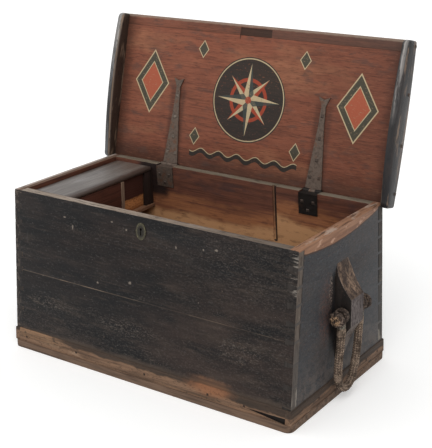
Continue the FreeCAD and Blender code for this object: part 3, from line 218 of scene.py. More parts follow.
class Finish:
    """A material in the making. Its patterns lie on the object's coordinates and are drawn out along one axis, that of
    the grain. A gloss of 0.5 is that of clean varnish."""

    def __init__(self, name, axis="x", gloss=0.2, metal=0.0):
        self.made = bpy.data.materials.new(name)
        self.made.use_nodes = True
        self.shader = self.made.node_tree.nodes["Principled BSDF"]
        self.shader.inputs["Specular IOR Level"].default_value = gloss
        self.shader.inputs["Metallic"].default_value = metal
        self.axis = axis
        self.put = partial(put, self.made.node_tree)
        self.where = self.put("TexCoord", out="Object")

    @cached_property
    def place(self):
        """The three coordinates of a place."""
        return self.put("SeparateXYZ", self.where).node.outputs

    def figure(self, grain, stretch=1, shift=0.0, detail=4.0, axis=None):
        """Uneven figure about `grain` metres across, the longer along the axis the smaller stretch is."""
        scale = tuple((stretch if name == (axis or self.axis) else 1) / grain for name in "xyz")
        laid = self.put("Mapping", named={"Vector": self.where, "Location": (shift,) * 3, "Scale": scale})
        return self.put("TexNoise", named={"Vector": laid, "Scale": 1.0, "Detail": detail, "Roughness": 0.6})

    def rise(self, value, low, high):
        """A mask that rises from 0 at low to 1 at high, or falls where low is above high."""
        return self.put("MapRange", value, low, high, interpolation_type="SMOOTHSTEP")

    def patches(self, grain, low, high, stretch=1, shift=0.0, more=None, axis=None):
        """A mask of irregular patches: fewer of them the higher low is, more of them where `more` is high."""
        field = self.figure(grain, stretch, shift, axis=axis)
        if more is not None:
            field = self.put("Math", more, 0.12, field, operation="MULTIPLY_ADD")
        return self.rise(field, low, high)

    def strip(self, value, low, high, soft):
        """A mask that is 1 between low and high."""
        return self.overlap(self.rise(value, low - soft, low + soft), self.rise(value, high + soft, high - soft))

    def overlap(self, *masks):
        """Where all the masks are."""
        return reduce(lambda made, mask: self.put("Math", made, mask, operation="MULTIPLY"), masks)

    def either(self, *masks):
        """Where any of the masks is."""
        return reduce(lambda made, mask: self.put("Math", made, mask, operation="MAXIMUM"), masks)

    def wavering(self, value, grain, amount, stretch=1, shift=0.0):
        """A coordinate pushed to and fro, so that an edge drawn on it isn't straight."""
        sway = self.put("Math", self.figure(grain, stretch, shift), -0.5, operation="ADD")
        return self.put("Math", sway, amount, value, operation="MULTIPLY_ADD")

    def reach(self, across, up, middle, half=(1, 1)):
        """How far a place is from the middle of an oval, where 1 is its edge."""
        away = [
            self.put("Math", value, 1 / edge, -centre / edge, operation="MULTIPLY_ADD")
            for value, centre, edge in zip((across, up), middle, half)
        ]
        return self.put("VectorMath", self.put("CombineXYZ", *away), operation="LENGTH", out="Value")

    def spot(self, across, up, middle, half):
        """An oval mask with a soft edge, on two coordinates."""
        return self.rise(self.reach(across, up, middle, half), 1.0, 0.3)

    def coats(self, ground, *layers):
        """Colours laid over the ground in order, each one with the masks that it lies under: (colour, mask, ...)."""
        for paint, *masks in layers:
            ground = self.put("Mix", named={0: self.overlap(*masks), 6: ground, 7: paint}, out=2, data_type="RGBA")
        return ground

    def pine(self, light, dark, shift=0.0, bold=0.8):
        """Sawn and planed pine: 12 mm bands and 2.8 mm lines of grain along the board, drawn coarse enough to show.
        Gives the colour and the lines."""
        bands = self.figure(0.012, 0.05, shift, 3.0)
        lines = self.figure(0.0028, 0.035, shift + 3, 2.0)
        bands, dark_lines = self.rise(bands, 0.42, 0.66), self.rise(lines, 0.50, 0.72)
        return self.coats(light, (dark, bands, bold), (dark, dark_lines, 0.6)), lines

    def planed(self, light, dark, *layers, shift=0.0, bold=0.8, rough=(0.6, 0.85), depth=0.0005):
        """Ends a finish of pine with the layers over its grain, and the grain's relief."""
        paint, lines = self.pine(light, dark, shift, bold)
        return self.surface(self.coats(paint, *layers), rough, lines, depth)

    def surface(self, paint, rough, height, depth):
        """Ends the finish with its colour, its roughness from rough[0] to rough[1] over the height, and its relief."""
        for name, value in (
            ("Base Color", paint),
            ("Roughness", self.put("MapRange", height, 0.3, 0.7, *rough)),
            ("Normal", self.put("Bump", named={"Strength": 1.0, "Distance": depth, "Height": height})),
        ):
            self.made.node_tree.links.new(value, self.shader.inputs[name])
        return self.made


def black_paint(skin, ground, grime, low, clouds, *layers, brushed=1.0):
    """Old black oil paint on planed pine: mottled and chalky, rubbed along the grain, scratched and flecked with bare
    wood low down and in clouds. Brushed is how plain the brush marks are, and the layers are the board's own. Scratches
    and chips are cut into it."""
    tone = colours()
    wood, lines = skin.pine(tone.bare_wood, tone.scuffed)
    streaks = skin.figure(0.008, 0.09, 25.0, 3.0)
    grit = skin.figure(0.0034, 0.45, 55.0)
    thin = skin.either(skin.overlap(skin.rise(skin.figure(0.07, 0.4, 41.0), 0.54, 0.68), 0.6), *clouds)
    scratches = skin.overlap(skin.patches(0.0030, 0.58, 0.70, 0.13, 5.0), thin)
    chips = skin.patches(0.008, 0.735, 0.755, 0.7, 17.0)
    paint = skin.coats(
        ground,
        (grime, skin.rise(skin.figure(0.09, 0.30, 1.0), 0.38, 0.66)),
        (tone.scuffed, skin.patches(0.040, 0.58, 0.80, 0.25, 13.0, more=low), 0.36),
        (tone.scuffed, skin.rise(streaks, 0.54, 0.72), 0.26 * brushed),
        ("#0d0c0c", skin.rise(streaks, 0.46, 0.32), 0.5 * brushed),
        ("#504e4c", skin.rise(grit, 0.56, 0.70), 0.40),
        ("#0c0b0b", skin.rise(grit, 0.46, 0.34), 0.45),
        ("#74685e", scratches, 0.45),
        ("#7d736a", skin.patches(0.0030, 0.52, 0.66, 0.55, 7.0), thin, 0.38),
        (wood, skin.patches(0.0048, 0.70, 0.77, 0.6, 9.0, more=skin.overlap(low, thin)), 0.42),
        ("#9a8f84", chips, 0.75),
        *layers,
    )
    height = skin.coats(scratches, (lines, 0.5), ("#000000", chips, 0.6))
    return skin.surface(paint, (0.5, 0.72), height, 0.0005)


def painted_front(name):
    """The front and back: black paint, thin in clouds and brown on the right, with a dull line where the joint of the
    two boards shows and a painted shadow under it, ragged pale edges at the dovetails of the right corner and bare wood
    at the foot. The front alone is bruised, and orange where its paint last came off. Below the plinth's top, seen only
    through the broken plinth edge, the boards are flat near-black: paint kept from wear, and painted shade in the gap."""
    skin = Finish(name, "x", 0.13)
    tone = colours()
    x, y, z = skin.place
    low = skin.either(skin.rise(z, 0.23, 0.05), skin.overlap(skin.rise(x, -0.15, 0.35), 0.85))
    clouds = [
        skin.overlap(skin.spot(x, z, middle, half), share)
        for middle, half, share in (
            ((0.300, 0.165), (0.11, 0.050), 1.0), ((-0.320, 0.155), (0.13, 0.028), 1.0),
            ((-0.050, 0.145), (0.16, 0.038), 0.9), ((0.240, 0.400), (0.11, 0.050), 0.5),
            ((0.410, 0.180), (0.05, 0.130), 0.5),
        )
    ]
    faces_front = skin.rise(y, 0.01, -0.01)
    brown = skin.overlap(skin.rise(skin.wavering(x, 0.2, 0.3), -0.10, 0.20), skin.rise(z, 0.36, 0.26))
    foot = skin.rise(skin.wavering(z, 0.05, 0.03, 0.6, 2.0), 0.072, 0.058)
    tan, _ = skin.pine("#7d5a43", "#4f3a2c", 7.0)
    orange = skin.spot(skin.wavering(x, 0.03, 0.06), skin.wavering(z, 0.02, 0.02), (0.215, 0.060), (0.090, 0.026))
    joint = skin.wavering(z, 0.03, 0.0014)
    joint_shows = (
        skin.either(skin.overlap(skin.rise(x, 0.10, -0.25), 0.7), 0.22),
        skin.either(skin.patches(0.03, 0.40, 0.56, 0.3, 21.0), 0.4),
    )
    dovetails = (
        skin.patches(0.0060, 0.56, 0.66, 0.22, 61.0), skin.rise(x, 0.420, 0.440), skin.rise(z, 0.30, 0.36),
    )
    bruised_x, bruised_z = skin.wavering(x, 0.004, 0.004), skin.wavering(z, 0.004, 0.006)
    bruises = skin.either(*(
        skin.spot(bruised_x, bruised_z, middle, half)
        for middle, half in (
            ((-0.268, 0.408), (0.006, 0.003)), ((-0.240, 0.385), (0.003, 0.010)), ((-0.106, 0.424), (0.005, 0.003)),
            ((-0.058, 0.411), (0.004, 0.004)), ((-0.153, 0.250), (0.005, 0.004)), ((-0.045, 0.272), (0.007, 0.005)),
            ((0.100, 0.396), (0.003, 0.006)), ((0.221, 0.412), (0.007, 0.004)), ((0.183, 0.406), (0.003, 0.004)),
        )
    ))
    return black_paint(
        skin, tone.black_paint, "#251f1d", low, [*clouds, skin.overlap(low, 0.45)],
        ("#40332d", brown, skin.patches(0.05, 0.34, 0.60, 0.3, 67.0), 0.36),
        (tone.scuffed, foot, 0.7),
        (tan, orange, faces_front, 0.75),
        # A painted shadow under the joint line of the two boards.
        ("#141211", skin.strip(joint, JOINT - 0.0105, JOINT - 0.0022, 0.003), 0.35),
        ("#857362", skin.strip(joint, JOINT - 0.0016, JOINT + 0.0004, 0.0005), *joint_shows),
        ("#8f877e", *dovetails, 0.6),
        ("#635850", skin.patches(0.0050, 0.48, 0.60, 0.4, 63.0, axis="z"), skin.rise(x, -0.428, -0.442), 0.55),
        ("#8a7f74", bruises, faces_front, 0.65),
        # Flat near-black below the plinth's top: the paint kept from wear, and painted shade where the broken plinth
        # edge shows it.
        ("#14100e", skin.rise(z, 0.054, 0.050)),
    )


def painted_end(name):
    """The ends: black paint made greyer than the front's as painted light, with blue-grey and brown flecks, worn brown
    beside the becket block, with a painted shadow of the block beside it; the bowed band under the shut lid's cleats
    was never painted, and the end grain of the tails shows through at the corners."""
    skin = Finish(name, "y", 0.13)
    tone = colours()
    _, y, z = skin.place
    low = skin.rise(z, 0.20, 0.05)
    by_block = skin.overlap(skin.spot(y, z, (-0.080, 0.255), (0.045, 0.120)), 0.9)
    shade = (skin.strip(skin.wavering(y, 0.02, 0.012), -0.062, -0.030, 0.006), skin.strip(z, 0.12, 0.34, 0.02))
    flecks = (skin.spot(y, z, (-0.056, 0.300), (0.013, 0.060)), skin.patches(0.0042, 0.48, 0.58, shift=79.0))
    bow = skin.put("Math", y, 0.02, operation="ADD")
    bow = skin.put("Math", bow, bow, operation="MULTIPLY")
    under_cleat = skin.put("Math", bow, -0.55, z, operation="MULTIPLY_ADD")
    under_cleat = skin.wavering(under_cleat, 0.025, 0.006, 0.4, 6.0)
    bare_band = skin.rise(under_cleat, 0.4235, 0.4255)
    tan, _ = skin.pine(tone.end_rim_wood, "#6a4836", 5.0)
    # The ground and mottling are greyer than on the front: painted light on the same black paint.
    return black_paint(
        skin, tone.lit_end_paint, "#3a3635", low, [by_block, skin.overlap(low, 0.5)],
        ("#4a4f56", skin.patches(0.0055, 0.56, 0.68, 0.7, 71.0), 0.45),
        ("#55423a", skin.patches(0.0065, 0.56, 0.68, 0.7, 73.0), 0.40),
        ("#5a3f36", by_block, skin.patches(0.009, 0.42, 0.58, shift=75.0), 0.65),
        ("#5f5650", low, skin.patches(0.020, 0.40, 0.60, shift=77.0), 0.5),
        # A painted shadow of the becket block: a near-black strip on the end beside its front flank.
        ("#151312", *shade, 0.65),
        ("#8f7f75", *flecks, 0.75),
        ("#4f4944", skin.rise(out_of_face(skin), -0.0250, -0.0242), skin.rise(y, 0.01, 0.0), 0.7),
        ("#3d2a21", skin.rise(under_cleat, 0.4185, 0.4225), 0.8),
        (tan, bare_band),
        ("#b8937c", bare_band, skin.patches(0.016, 0.55, 0.66, 0.5, 33.0), 0.7),
        brushed=0.35,
    )


def out_of_face(skin):
    """How far a place on an end lies outside the front or back face of the chest, which cants out downwards."""
    _, y, z = skin.place
    aside = skin.put("Math", y, operation="ABSOLUTE")
    aside = skin.put("Math", z, CANT, aside, operation="MULTIPLY_ADD")
    return skin.put("Math", aside, FACE_OUT, operation="SUBTRACT")


def bare_pine(name, light, dark, axis="x", shift=0.0, bold=0.8):
    """Bare or stained pine: grain along the board, with dirt in its hollows and nicks."""
    skin = Finish(name, axis)
    return skin.planed(
        light, dark,
        (dark, skin.patches(0.05, 0.55, 0.8, 0.4, shift + 7), 0.6),
        ("#2b201a", skin.patches(0.005, 0.7, 0.76, 0.5, shift + 9), 0.6),
        shift=shift, bold=bold,
    )


def worn_rim(name, light, dark, axis):
    """The bare upper edge of a board: weathered pine with dirt along its grain, paler where the arris is rubbed. It is
    olive-grey on the back, brown to the right on the front, and brown inside its pale outer arris on the left end."""
    skin = Finish(name, axis)
    x, y, _ = skin.place
    if axis == "x":
        worn = (
            ("#5b5242", skin.rise(y, 0.0, 0.01), 0.72),
            ("#50453d", skin.rise(y, 0.01, 0.0), skin.rise(x, -0.1, 0.35), 0.72),
        )
    else:
        worn = (
            ("#5a473b", skin.rise(x, -0.38, -0.40), 0.8),
            ("#a99c92", skin.rise(x, -0.4380, -0.4405), 0.9),
        )
    return skin.planed(
        light, dark,
        ("#b0a398", skin.patches(0.018, 0.50, 0.64, 0.25, 8.0), 0.5),
        *worn,
        ("#332a24", skin.patches(0.006, 0.56, 0.64, 0.12, 11.0), 0.75),
        shift=3.0, bold=0.6, depth=0.0006,
    )


def stained_inside(name, axis):
    """Pine inside the chest: dull red stain above, rubbed away lower down to golden and then pale wood, with the dark
    groove of a lost partition in the back and a painted shadow on the inner faces beside the till."""
    skin = Finish(name, axis)
    tone = colours()
    x, y, z = skin.place
    at_back = skin.rise(y, 0.0, 0.01)
    gold, _ = skin.pine("#93603f", "#57332a", 12.0, 0.6)
    level = skin.wavering(z, 0.07, 0.11, 0.3, 3.0)
    level = skin.put("Math", skin.rise(x, 0.136, 0.140), -0.05, level, operation="MULTIPLY_ADD")
    till_shadow = skin.strip(skin.wavering(x, 0.03, 0.03), -0.33, -0.236, 0.012)
    return skin.planed(
        tone.inside_wood, "#3c251c",
        ("#3a2a29", skin.patches(0.035, 0.50, 0.66, 0.4, 15.0), 0.6),
        (gold, skin.rise(level, 0.375, 0.345), 0.85),
        (tone.inside_pale, skin.rise(level, 0.328, 0.300), 0.8),
        ("#3f261f", skin.patches(0.014, 0.52, 0.66, 0.35, 27.0), 0.38),
        ("#95775b", skin.strip(x, GROOVE[0] - 0.0038, GROOVE[0] - 0.0004, 0.0005), at_back, 0.35),
        ("#17100d", skin.strip(x, *GROOVE, 0.0006), at_back, skin.rise(z, GROOVE_FOOT, GROOVE_FOOT + 0.002), 0.92),
        # A painted shadow on the inner faces beside the till.
        ("#171110", till_shadow, skin.rise(z, 0.345, 0.37), 0.9),
        ("#c9b9a4", skin.patches(0.004, 0.78, 0.80, 0.6, 21.0), 0.7),
        bold=0.7,
    )


def wrought_iron(name, ground, rust, rough=(0.45, 0.7)):
    """Hammered wrought iron under old wax and dirt: dark scale with rust in broad patches, soft hammer marks."""
    skin = Finish(name, metal=0.55)
    paint = skin.coats(
        ground,
        ("#2a2624", skin.rise(skin.figure(0.006), 0.46, 0.68), 0.35),
        (rust, skin.patches(0.02, 0.52, 0.72, shift=4.0), 0.7),
    )
    return skin.surface(paint, rough, skin.figure(0.012, detail=2.0), 0.0012)


def tarred_hemp(name, ground, crown):
    """Tarred hemp line, worn by hands: dull brown-grey fibres, paler and frayed on the crowns of the strands."""
    skin = Finish(name)
    fibre = skin.figure(0.0022, detail=3.0)
    paint = skin.coats(
        ground,
        (crown, skin.rise(fibre, 0.46, 0.58), 0.9),
        ("#2f261f", skin.rise(skin.figure(0.016, shift=6.0), 0.46, 0.66), 0.8),
    )
    return skin.surface(paint, (0.8, 0.95), fibre, 0.0007)


def show_on(piece, rest, *rules):
    """Gives each face the finish of the first rule whose test its normal and middle pass, or else that of the rest."""
    piece.data.materials.clear()
    for finish in (*(finish for finish, _ in rules), rest):
        piece.data.materials.append(finish)
    for face in piece.data.polygons:
        passed = (i for i, (_, test) in enumerate(rules) if test(face.normal, face.center))
        face.material_index = next(passed, len(rules))


def finish_nodes(finish, *nodes):
    """Gives CAD nodes that stay their finish."""
    for node in nodes:
        mesh = frame["nodes"][node].data
        mesh.materials.clear()
        mesh.materials.append(finish)


# ---------------------------------------------------------------- making


def body_of(node):
    """The body that a CAD node rides on."""
    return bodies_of(frame["nodes"][node])[0]


def both(*names):
    """The nodes on the left and on the right."""
    return [f"{name}_{side}" for name in names for side, _ in SIDES]


def placed(name, data):
    """A new object in the scene."""
    piece = bpy.data.objects.new(name, data)
    bpy.context.scene.collection.objects.link(piece)
    return piece


def select_only(piece):
    bpy.ops.object.select_all(action="DESELECT")
    piece.select_set(True)
    bpy.context.view_layer.objects.active = piece


def join_to(piece, other):
    """Makes the other piece a part of the piece."""
    select_only(piece)
    other.select_set(True)
    bpy.ops.object.join()


def around(start, towards, turn):
    """A direction or an arm, turned from its start towards another."""
    return start * math.cos(turn) + towards * math.sin(turn)


def is_rim(normal, middle):
    """Whether a face is of the upper edges of the boards."""
    return normal.z > 0.7 and middle.z > RIM_FROM


def worked_copy(node, easing, slot, rest, *rules, plugs=()):
    """A copy of a CAD board with whole faces and worn arrises, which stands for the node. The rules say which faces
    don't get the finish of the rest. Plugs are the (y, z) of nail holes along X that are closed, because the nails
    fill them."""
    piece = placed(node + "_worked", frame["nodes"][node].data.copy())
    select_only(piece)
    bpy.ops.mesh.customdata_custom_splitnormals_clear()
    bpy.ops.object.mode_set(mode="EDIT")
    bpy.ops.mesh.select_all(action="SELECT")
    bpy.ops.mesh.remove_doubles(threshold=MERGED)
    bpy.ops.mesh.dissolve_limited(angle_limit=FLAT)
    if plugs:
        bpy.ops.mesh.select_all(action="DESELECT")
        bpy.ops.object.mode_set(mode="OBJECT")
        for face in piece.data.polygons:
            near = any(math.hypot(face.center.y - y, face.center.z - z) < PLUG_RADIUS for y, z in plugs)
            face.select = near and abs(face.normal.x) < 0.5
        bpy.ops.object.mode_set(mode="EDIT")
        bpy.ops.mesh.delete(type="FACE")
        bpy.ops.mesh.select_all(action="SELECT")
        bpy.ops.mesh.fill_holes(sides=0)
        bpy.ops.mesh.dissolve_limited(angle_limit=FLAT)
    bpy.ops.object.mode_set(mode="OBJECT")
    worn = piece.modifiers.new("Worn arrises", "BEVEL")
    worn.width = easing
    worn.segments = 2
    worn.limit_method = "ANGLE"
    worn.angle_limit = WORN
    bpy.ops.object.modifier_apply(modifier=worn.name)
    bpy.ops.object.shade_smooth_by_angle(angle=SHARP)
    show_on(piece, rest, *rules)
    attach(piece, body_of(node))
    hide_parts(node)


def strands(name, lines, half_width, half_height, sides=6, closed=False):
    """One mesh of strands of oval section. Each line is a list of (point, outward direction)."""
    points, faces = [], []
    for line in lines:
        first, count = len(points), len(line)
        for i, (point, out) in enumerate(line):
            ahead = line[(i + 1) % count][0] if closed or i < count - 1 else point
            behind = line[i - 1][0] if closed or i > 0 else point
            forward = (ahead - behind).normalized()
            side = forward.cross(out).normalized()
            up = side.cross(forward)
            for k in range(sides):
                points.append(point + around(side * half_width, up * half_height, math.tau * k / sides))
        for i in range(count if closed else count - 1):
            here, there = first + i * sides, first + (i + 1) % count * sides
            for k in range(sides):
                after = (k + 1) % sides
                faces.append((here + k, there + k, there + after, here + after))
        if not closed:
            faces.append(tuple(first + k for k in range(sides)))
            faces.append(tuple(first + (count - 1) * sides + k for k in reversed(range(sides))))
    mesh = bpy.data.meshes.new(name)
    mesh.from_pydata([tuple(p) for p in points], [], faces)
    mesh.update()
    mesh.polygons.foreach_set("use_smooth", [True] * len(mesh.polygons))
    return placed(name, mesh)


def steps_along(curve, step):
    """Places along a curve's own spline: (distance, point, two directions across), `step` apart."""
    plain = bpy.data.meshes.new_from_object(curve)
    read = [v.co.copy() for v in plain.vertices]
    bpy.data.meshes.remove(plain)
    reach = [0.0]
    for a, b in zip(read, read[1:]):
        reach.append(reach[-1] + (b - a).length)
    places, across, i = [], ACROSS, 0
    count = max(2, round(reach[-1] / step) + 1)
    for n in range(count):
        gone = reach[-1] * n / (count - 1)
        while i < len(read) - 2 and reach[i + 1] < gone:
            i += 1
        share = (gone - reach[i]) / (reach[i + 1] - reach[i])
        forward = (read[i + 1] - read[i]).normalized()
        across = (across - forward * across.dot(forward)).normalized()
        places.append((gone, read[i].lerp(read[i + 1], share), across, forward.cross(across)))
    return places


def open_route(name, points):
    """An open NURBS curve through a cord's own route."""
    curve = bpy.data.curves.new(name, "CURVE")
    curve.dimensions = "3D"
    curve.resolution_u = 16
    spline = curve.splines.new("NURBS")
    spline.points.add(len(points) - 1)
    for corner, point in zip(spline.points, points):
        corner.co = (*point, 1.0)
    spline.order_u = 3
    spline.use_endpoint_u = True
    return placed(name, curve)


# ---------------------------------------------------------------- operators


class SEACHEST_OT_camera(bpy.types.Operator):
    """Adds the camera that looks down on the front and the right end."""

    bl_idname = "seachest.camera"
    bl_label = "Camera"

    def execute(self, context):
        place = Vector((1.6263, -2.2255, 1.3357))
        back = Vector((0.5337, -0.7829, 0.3198)).normalized()
        roll = math.radians(-0.55)
        shift = (-0.0268, -0.0249)
        right = UPWARDS.cross(back).normalized()
        up = back.cross(right)
        level, plumb = around(right, up, roll), around(up, -right, roll)
        bpy.ops.object.camera_add()
        camera = context.object
        camera.name = "chest_camera"
        camera.matrix_world = Matrix([(level[i], plumb[i], back[i], place[i]) for i in range(3)] + [(0, 0, 0, 1)])
        camera.data.lens = sizes().lens
        camera.data.shift_x, camera.data.shift_y = shift
        context.scene.camera = camera
        return {"FINISHED"}


class SEACHEST_OT_beckets(bpy.types.Operator):
    """Adds the two rope beckets: a served core under a woven cover of hemp strands."""

    bl_idname = "seachest.beckets"
    bl_label = "Rope beckets"

    def execute(self, context):
        hemp = tarred_hemp("Tarred hemp rope", colours().rope, colours().rope_pale)
        dark = tarred_hemp("Tarred hemp rope in shade", "#43372e", "#78665a")
        heart = tarred_hemp("Black tarred heart rope", "#1c1714", "#2d2520")
        radius = sizes().rope_diameter / 2
        for side, sign in SIDES:
            route = open_route("becket_core_" + side, [(sign * BOLT_OUT, y, z) for y, z in BAIL])
            places = steps_along(route, 0.0019)
            route.data.bevel_depth = radius * 0.82
            route.data.bevel_resolution = 4
            route.data.use_fill_caps = True
            route.data.materials.append(heart)
            cover = self.cover(side, places, radius)
            bands = self.bands(side, places, radius)
            for piece in (route, cover, bands):
                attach(piece, "becket_" + side)
            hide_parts("becket_rope_" + side)
            for piece in (cover, bands):
                piece.data.materials.append(hemp)
            cover.data.materials.append(dark)
            half = len(cover.data.polygons) // 2
            cover.data.polygons.foreach_set("material_index", [0] * half + [1] * half)
        return {"FINISHED"}

    def cover(self, side, places, radius):
        """Strands laid at 45 degrees both ways, each over one and under the next."""
        count, depth, half_height = sizes().cover_strands, 0.0011, 0.0017
        middle = radius - half_height - depth
        lines = []
        for way in (1, -1):
            for i in range(count):
                line = []
                for gone, point, a, b in places:
                    out = around(a, b, math.tau * i / count + way * gone / middle)
                    weave = way * depth * math.cos(count * gone / middle)
                    line.append((point + out * (middle + weave), out))
                lines.append(line)
        return strands("becket_cover_" + side, lines, sizes().strand_width / 2, half_height)

    def bands(self, side, places, radius):
        """Close turns of small line over the ends of the cover and at two places on it."""
        lines, half, steps = [], 0.0014, 14
        whole = places[-1][0]
        for start, end in ((0.0, 0.020), (0.120, 0.136), (0.266, 0.280), (whole - 0.020, whole)):
            line, turns = [], (end - start) / (2.1 * half)
            count = round(turns * steps)
            for n in range(count + 1):
                at = (start + (end - start) * n / count) / whole * (len(places) - 1)
                i = min(len(places) - 2, int(at))
                point = places[i][1].lerp(places[i + 1][1], at - i)
                out = around(*places[i][2:], math.tau * turns * n / count)
                line.append((point + out * (radius - half + 0.0004), out))
            lines.append(line)
        return strands("becket_bands_" + side, lines, half * 1.05, half, 5)


class SEACHEST_OT_knots(bpy.types.Operator):
    """Adds the eyes, wound with small line, and the turk's head knots that hold them on the bolts."""

    bl_idname = "seachest.knots"
    bl_label = "Eyes and knots"

    def execute(self, context):
        line = self.knot_line()
        for side, sign in SIDES:
            for piece, node, body in (
                (self.eyes(side, sign), "becket_eyes_" + side, "becket_" + side),
                (self.knots(side, sign), "becket_knots_" + side, "chest"),
            ):
                piece.data.materials.append(line)
                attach(piece, body)
                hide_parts(node)
        return {"FINISHED"}

    def knot_line(self):
        """Black tarred line, rubbed to pale hemp at the hearts of the knots and on the throats of the eyes."""
        skin = Finish("Black tarred knot line")
        x, _, z = skin.place
        reach = skin.reach(skin.put("Math", x, operation="ABSOLUTE"), z, (BOLT_OUT, KNOT_HEIGHT))
        fibre = skin.figure(0.0024, detail=3.0)
        fray = skin.figure(0.007, shift=3.0)
        paint = skin.coats(
            "#3a302a",
            ("#7a695d", skin.rise(fray, 0.46, 0.60), 0.7),
            ("#a98868", skin.rise(reach, 0.016, 0.009), skin.rise(fray, 0.42, 0.58), 0.9),
            ("#8f8a7c", skin.rise(z, THROAT_TOP, THROAT_TOP - 0.005), skin.rise(fibre, 0.40, 0.56), 0.8),
            ("#1a1512", skin.patches(0.0042, 0.50, 0.60, shift=8.0), 0.8),
        )
        return skin.surface(paint, (0.7, 0.9), fibre, 0.0007)

    def eyes(self, side, sign):
        """Both eyes of one bail: turns of small line round each ring, and round the throat down to the bail."""
        ring_turns, throat_turns, steps = 34, 9, 12
        throat = THROAT_TOP - BAIL[0][1]
        rings, throats = [], []
        for face in (-1, 1):
            middle = Vector((sign * BOLT_OUT, face * EYE_ASIDE, BOLT_HEIGHT))
            line, count = [], ring_turns * steps
            for n in range(count):
                ring = around(ACROSS, UPWARDS, math.tau * n / count)
                turn = math.tau * n / steps
                at = middle + ring * 0.0152 + around(ring * 0.0037, ALONG * 0.0084, turn)
                line.append((at, around(ring * 0.45, ALONG, turn).normalized()))
            rings.append(line)
            line, count = [], throat_turns * steps
            for n in range(count + 1):
                out = around(ACROSS, ALONG, math.tau * n / steps)
                at = Vector((middle.x, middle.y, THROAT_TOP - throat * n / count))
                line.append((at + out * 0.0096, out))
            throats.append(line)
        eyes = strands("becket_eyes_wound_" + side, rings, 0.0017, 0.0013, 5, closed=True)
        join_to(eyes, strands("becket_throats", throats, 0.0013, 0.0013, 5))
        return eyes

    def knots(self, side, sign):
        """Three-lead turk's heads of eight bights, doubled, over a rounded button."""
        radius, thick, flat = sizes().knot_radius, 0.0030, 0.60
        leads, bights = 3, 8
        middles = [Vector((sign * BOLT_OUT, face * KNOT_ASIDE, KNOT_HEIGHT)) for face in (-1, 1)]
        lines = []
        for face, middle in zip((-1, 1), middles):
            for shift in (-0.12, 0.12):
                line, count = [], bights * leads * 14
                for n in range(count):
                    turn = math.tau * leads * n / count
                    swing = bights * turn / leads
                    tip = math.radians(68) + math.radians(46) * math.cos(swing) + shift
                    out = around(ALONG * face, around(ACROSS, UPWARDS, turn), tip)
                    reach = radius - thick - 0.0010 + 0.0012 * math.sin(2 * swing)
                    line.append((middle + Vector((out.x, out.y * flat, out.z)) * reach, out))
                lines.append(line)
        knots = strands("becket_knots_woven_" + side, lines, thick * 0.9, thick * 0.8, 6, closed=True)
        for middle in middles:
            bpy.ops.object.select_all(action="DESELECT")
            bpy.ops.mesh.primitive_uv_sphere_add(
                segments=20, ring_count=10, radius=radius - thick * 1.6, location=middle, scale=(1, flat, 1)
            )
            button = bpy.context.object
            bpy.ops.object.transform_apply()
            bpy.ops.object.shade_smooth()
            join_to(knots, button)
        return knots


class SEACHEST_OT_carcass(bpy.types.Operator):
    """Dresses the front, back and end boards: painted outside, stained inside, bare on the rims."""

    bl_idname = "seachest.carcass"
    bl_label = "Carcass boards"

    def execute(self, context):
        tone = colours()
        easing = sizes().board_easing
        long_paint = painted_front("Worn black paint on pine")
        lit_end_paint = painted_end("Worn black paint on pine ends with painted light")
        rim = worn_rim("Weathered pine rim", tone.rim_wood, "#6a5b50", "x")
        end_rim = worn_rim("Worn pine end rim", tone.end_rim_wood, "#6a4836", "y")
        inside = stained_inside("Stained pine inside", "x")
        inside_end = stained_inside("Stained pine inside ends", "y")
        pin_grain = bare_pine("Painted pin end grain", "#332e2b", "#211e1c", "z", shift=11.0)
        tail_grain = self.tail_grain()
        # Painted shade: the walls of the keyhole are near-black.
        hole = bare_pine("Keyhole in painted shade", "#14110f", "#0d0b0a", "y")
        hole_x, hole_z = KEYHOLE
        for face, way in (("front", -1), ("back", 1)):
            for board in ("upper", "lower"):
                worked_copy(
                    f"{face}_{board}_board", easing, "painted_front", long_paint,
                    (hole, lambda n, c: abs(c.x - hole_x) < 0.005 and abs(c.z - hole_z) < 0.02 and abs(n.y) < 0.5),
                    (rim, is_rim),
                    (tail_grain, lambda n, c: abs(n.x) > 0.5 and abs(c.x) > 0.44),
                    (inside, lambda n, c: (
                        n.y * way < -0.5 and abs(c.x) < END_INNER or abs(n.x) > 0.5 and abs(c.x) < 0.3
                    )),
                )
        for side, sign in SIDES:
            worked_copy(
                "end_board_" + side, easing, "painted_end", lit_end_paint,
                (end_rim, is_rim),
                (pin_grain, lambda n, c: abs(n.y) > 0.5 and abs(c.x) > 0.425),
                (inside_end, lambda n, c: n.x * sign < -0.5),
            )
        return {"FINISHED"}

    def tail_grain(self):
        """Sawn end grain of the tails, which took the paint badly: grey-brown, rubbed and pale low down, with an open
        crack along the inner edge."""
        skin = Finish("Rubbed tail end grain", "z", 0.13)
        _, y, z = skin.place
        lines = skin.figure(0.004, 0.15, 4.0)
        crack = skin.strip(skin.wavering(out_of_face(skin), 0.02, 0.002), -0.0250, -0.0215, 0.0006)
        paint = skin.coats(
            "#5f554d",
            ("#3a322d", skin.rise(lines, 0.48, 0.62), 0.7),
            ("#2f2d2c", skin.rise(y, 0.0, 0.01), 0.75),
            ("#474544", skin.rise(z, 0.24, 0.20), 0.45),
            ("#8f877d", skin.patches(0.012, 0.60, 0.72, 0.3, 9.0, more=skin.rise(z, 0.16, 0.05)), 0.7),
            ("#100e0d", crack, skin.rise(z, 0.225, 0.235), 0.85),
        )
        return skin.surface(paint, (0.6, 0.8), lines, 0.0006)


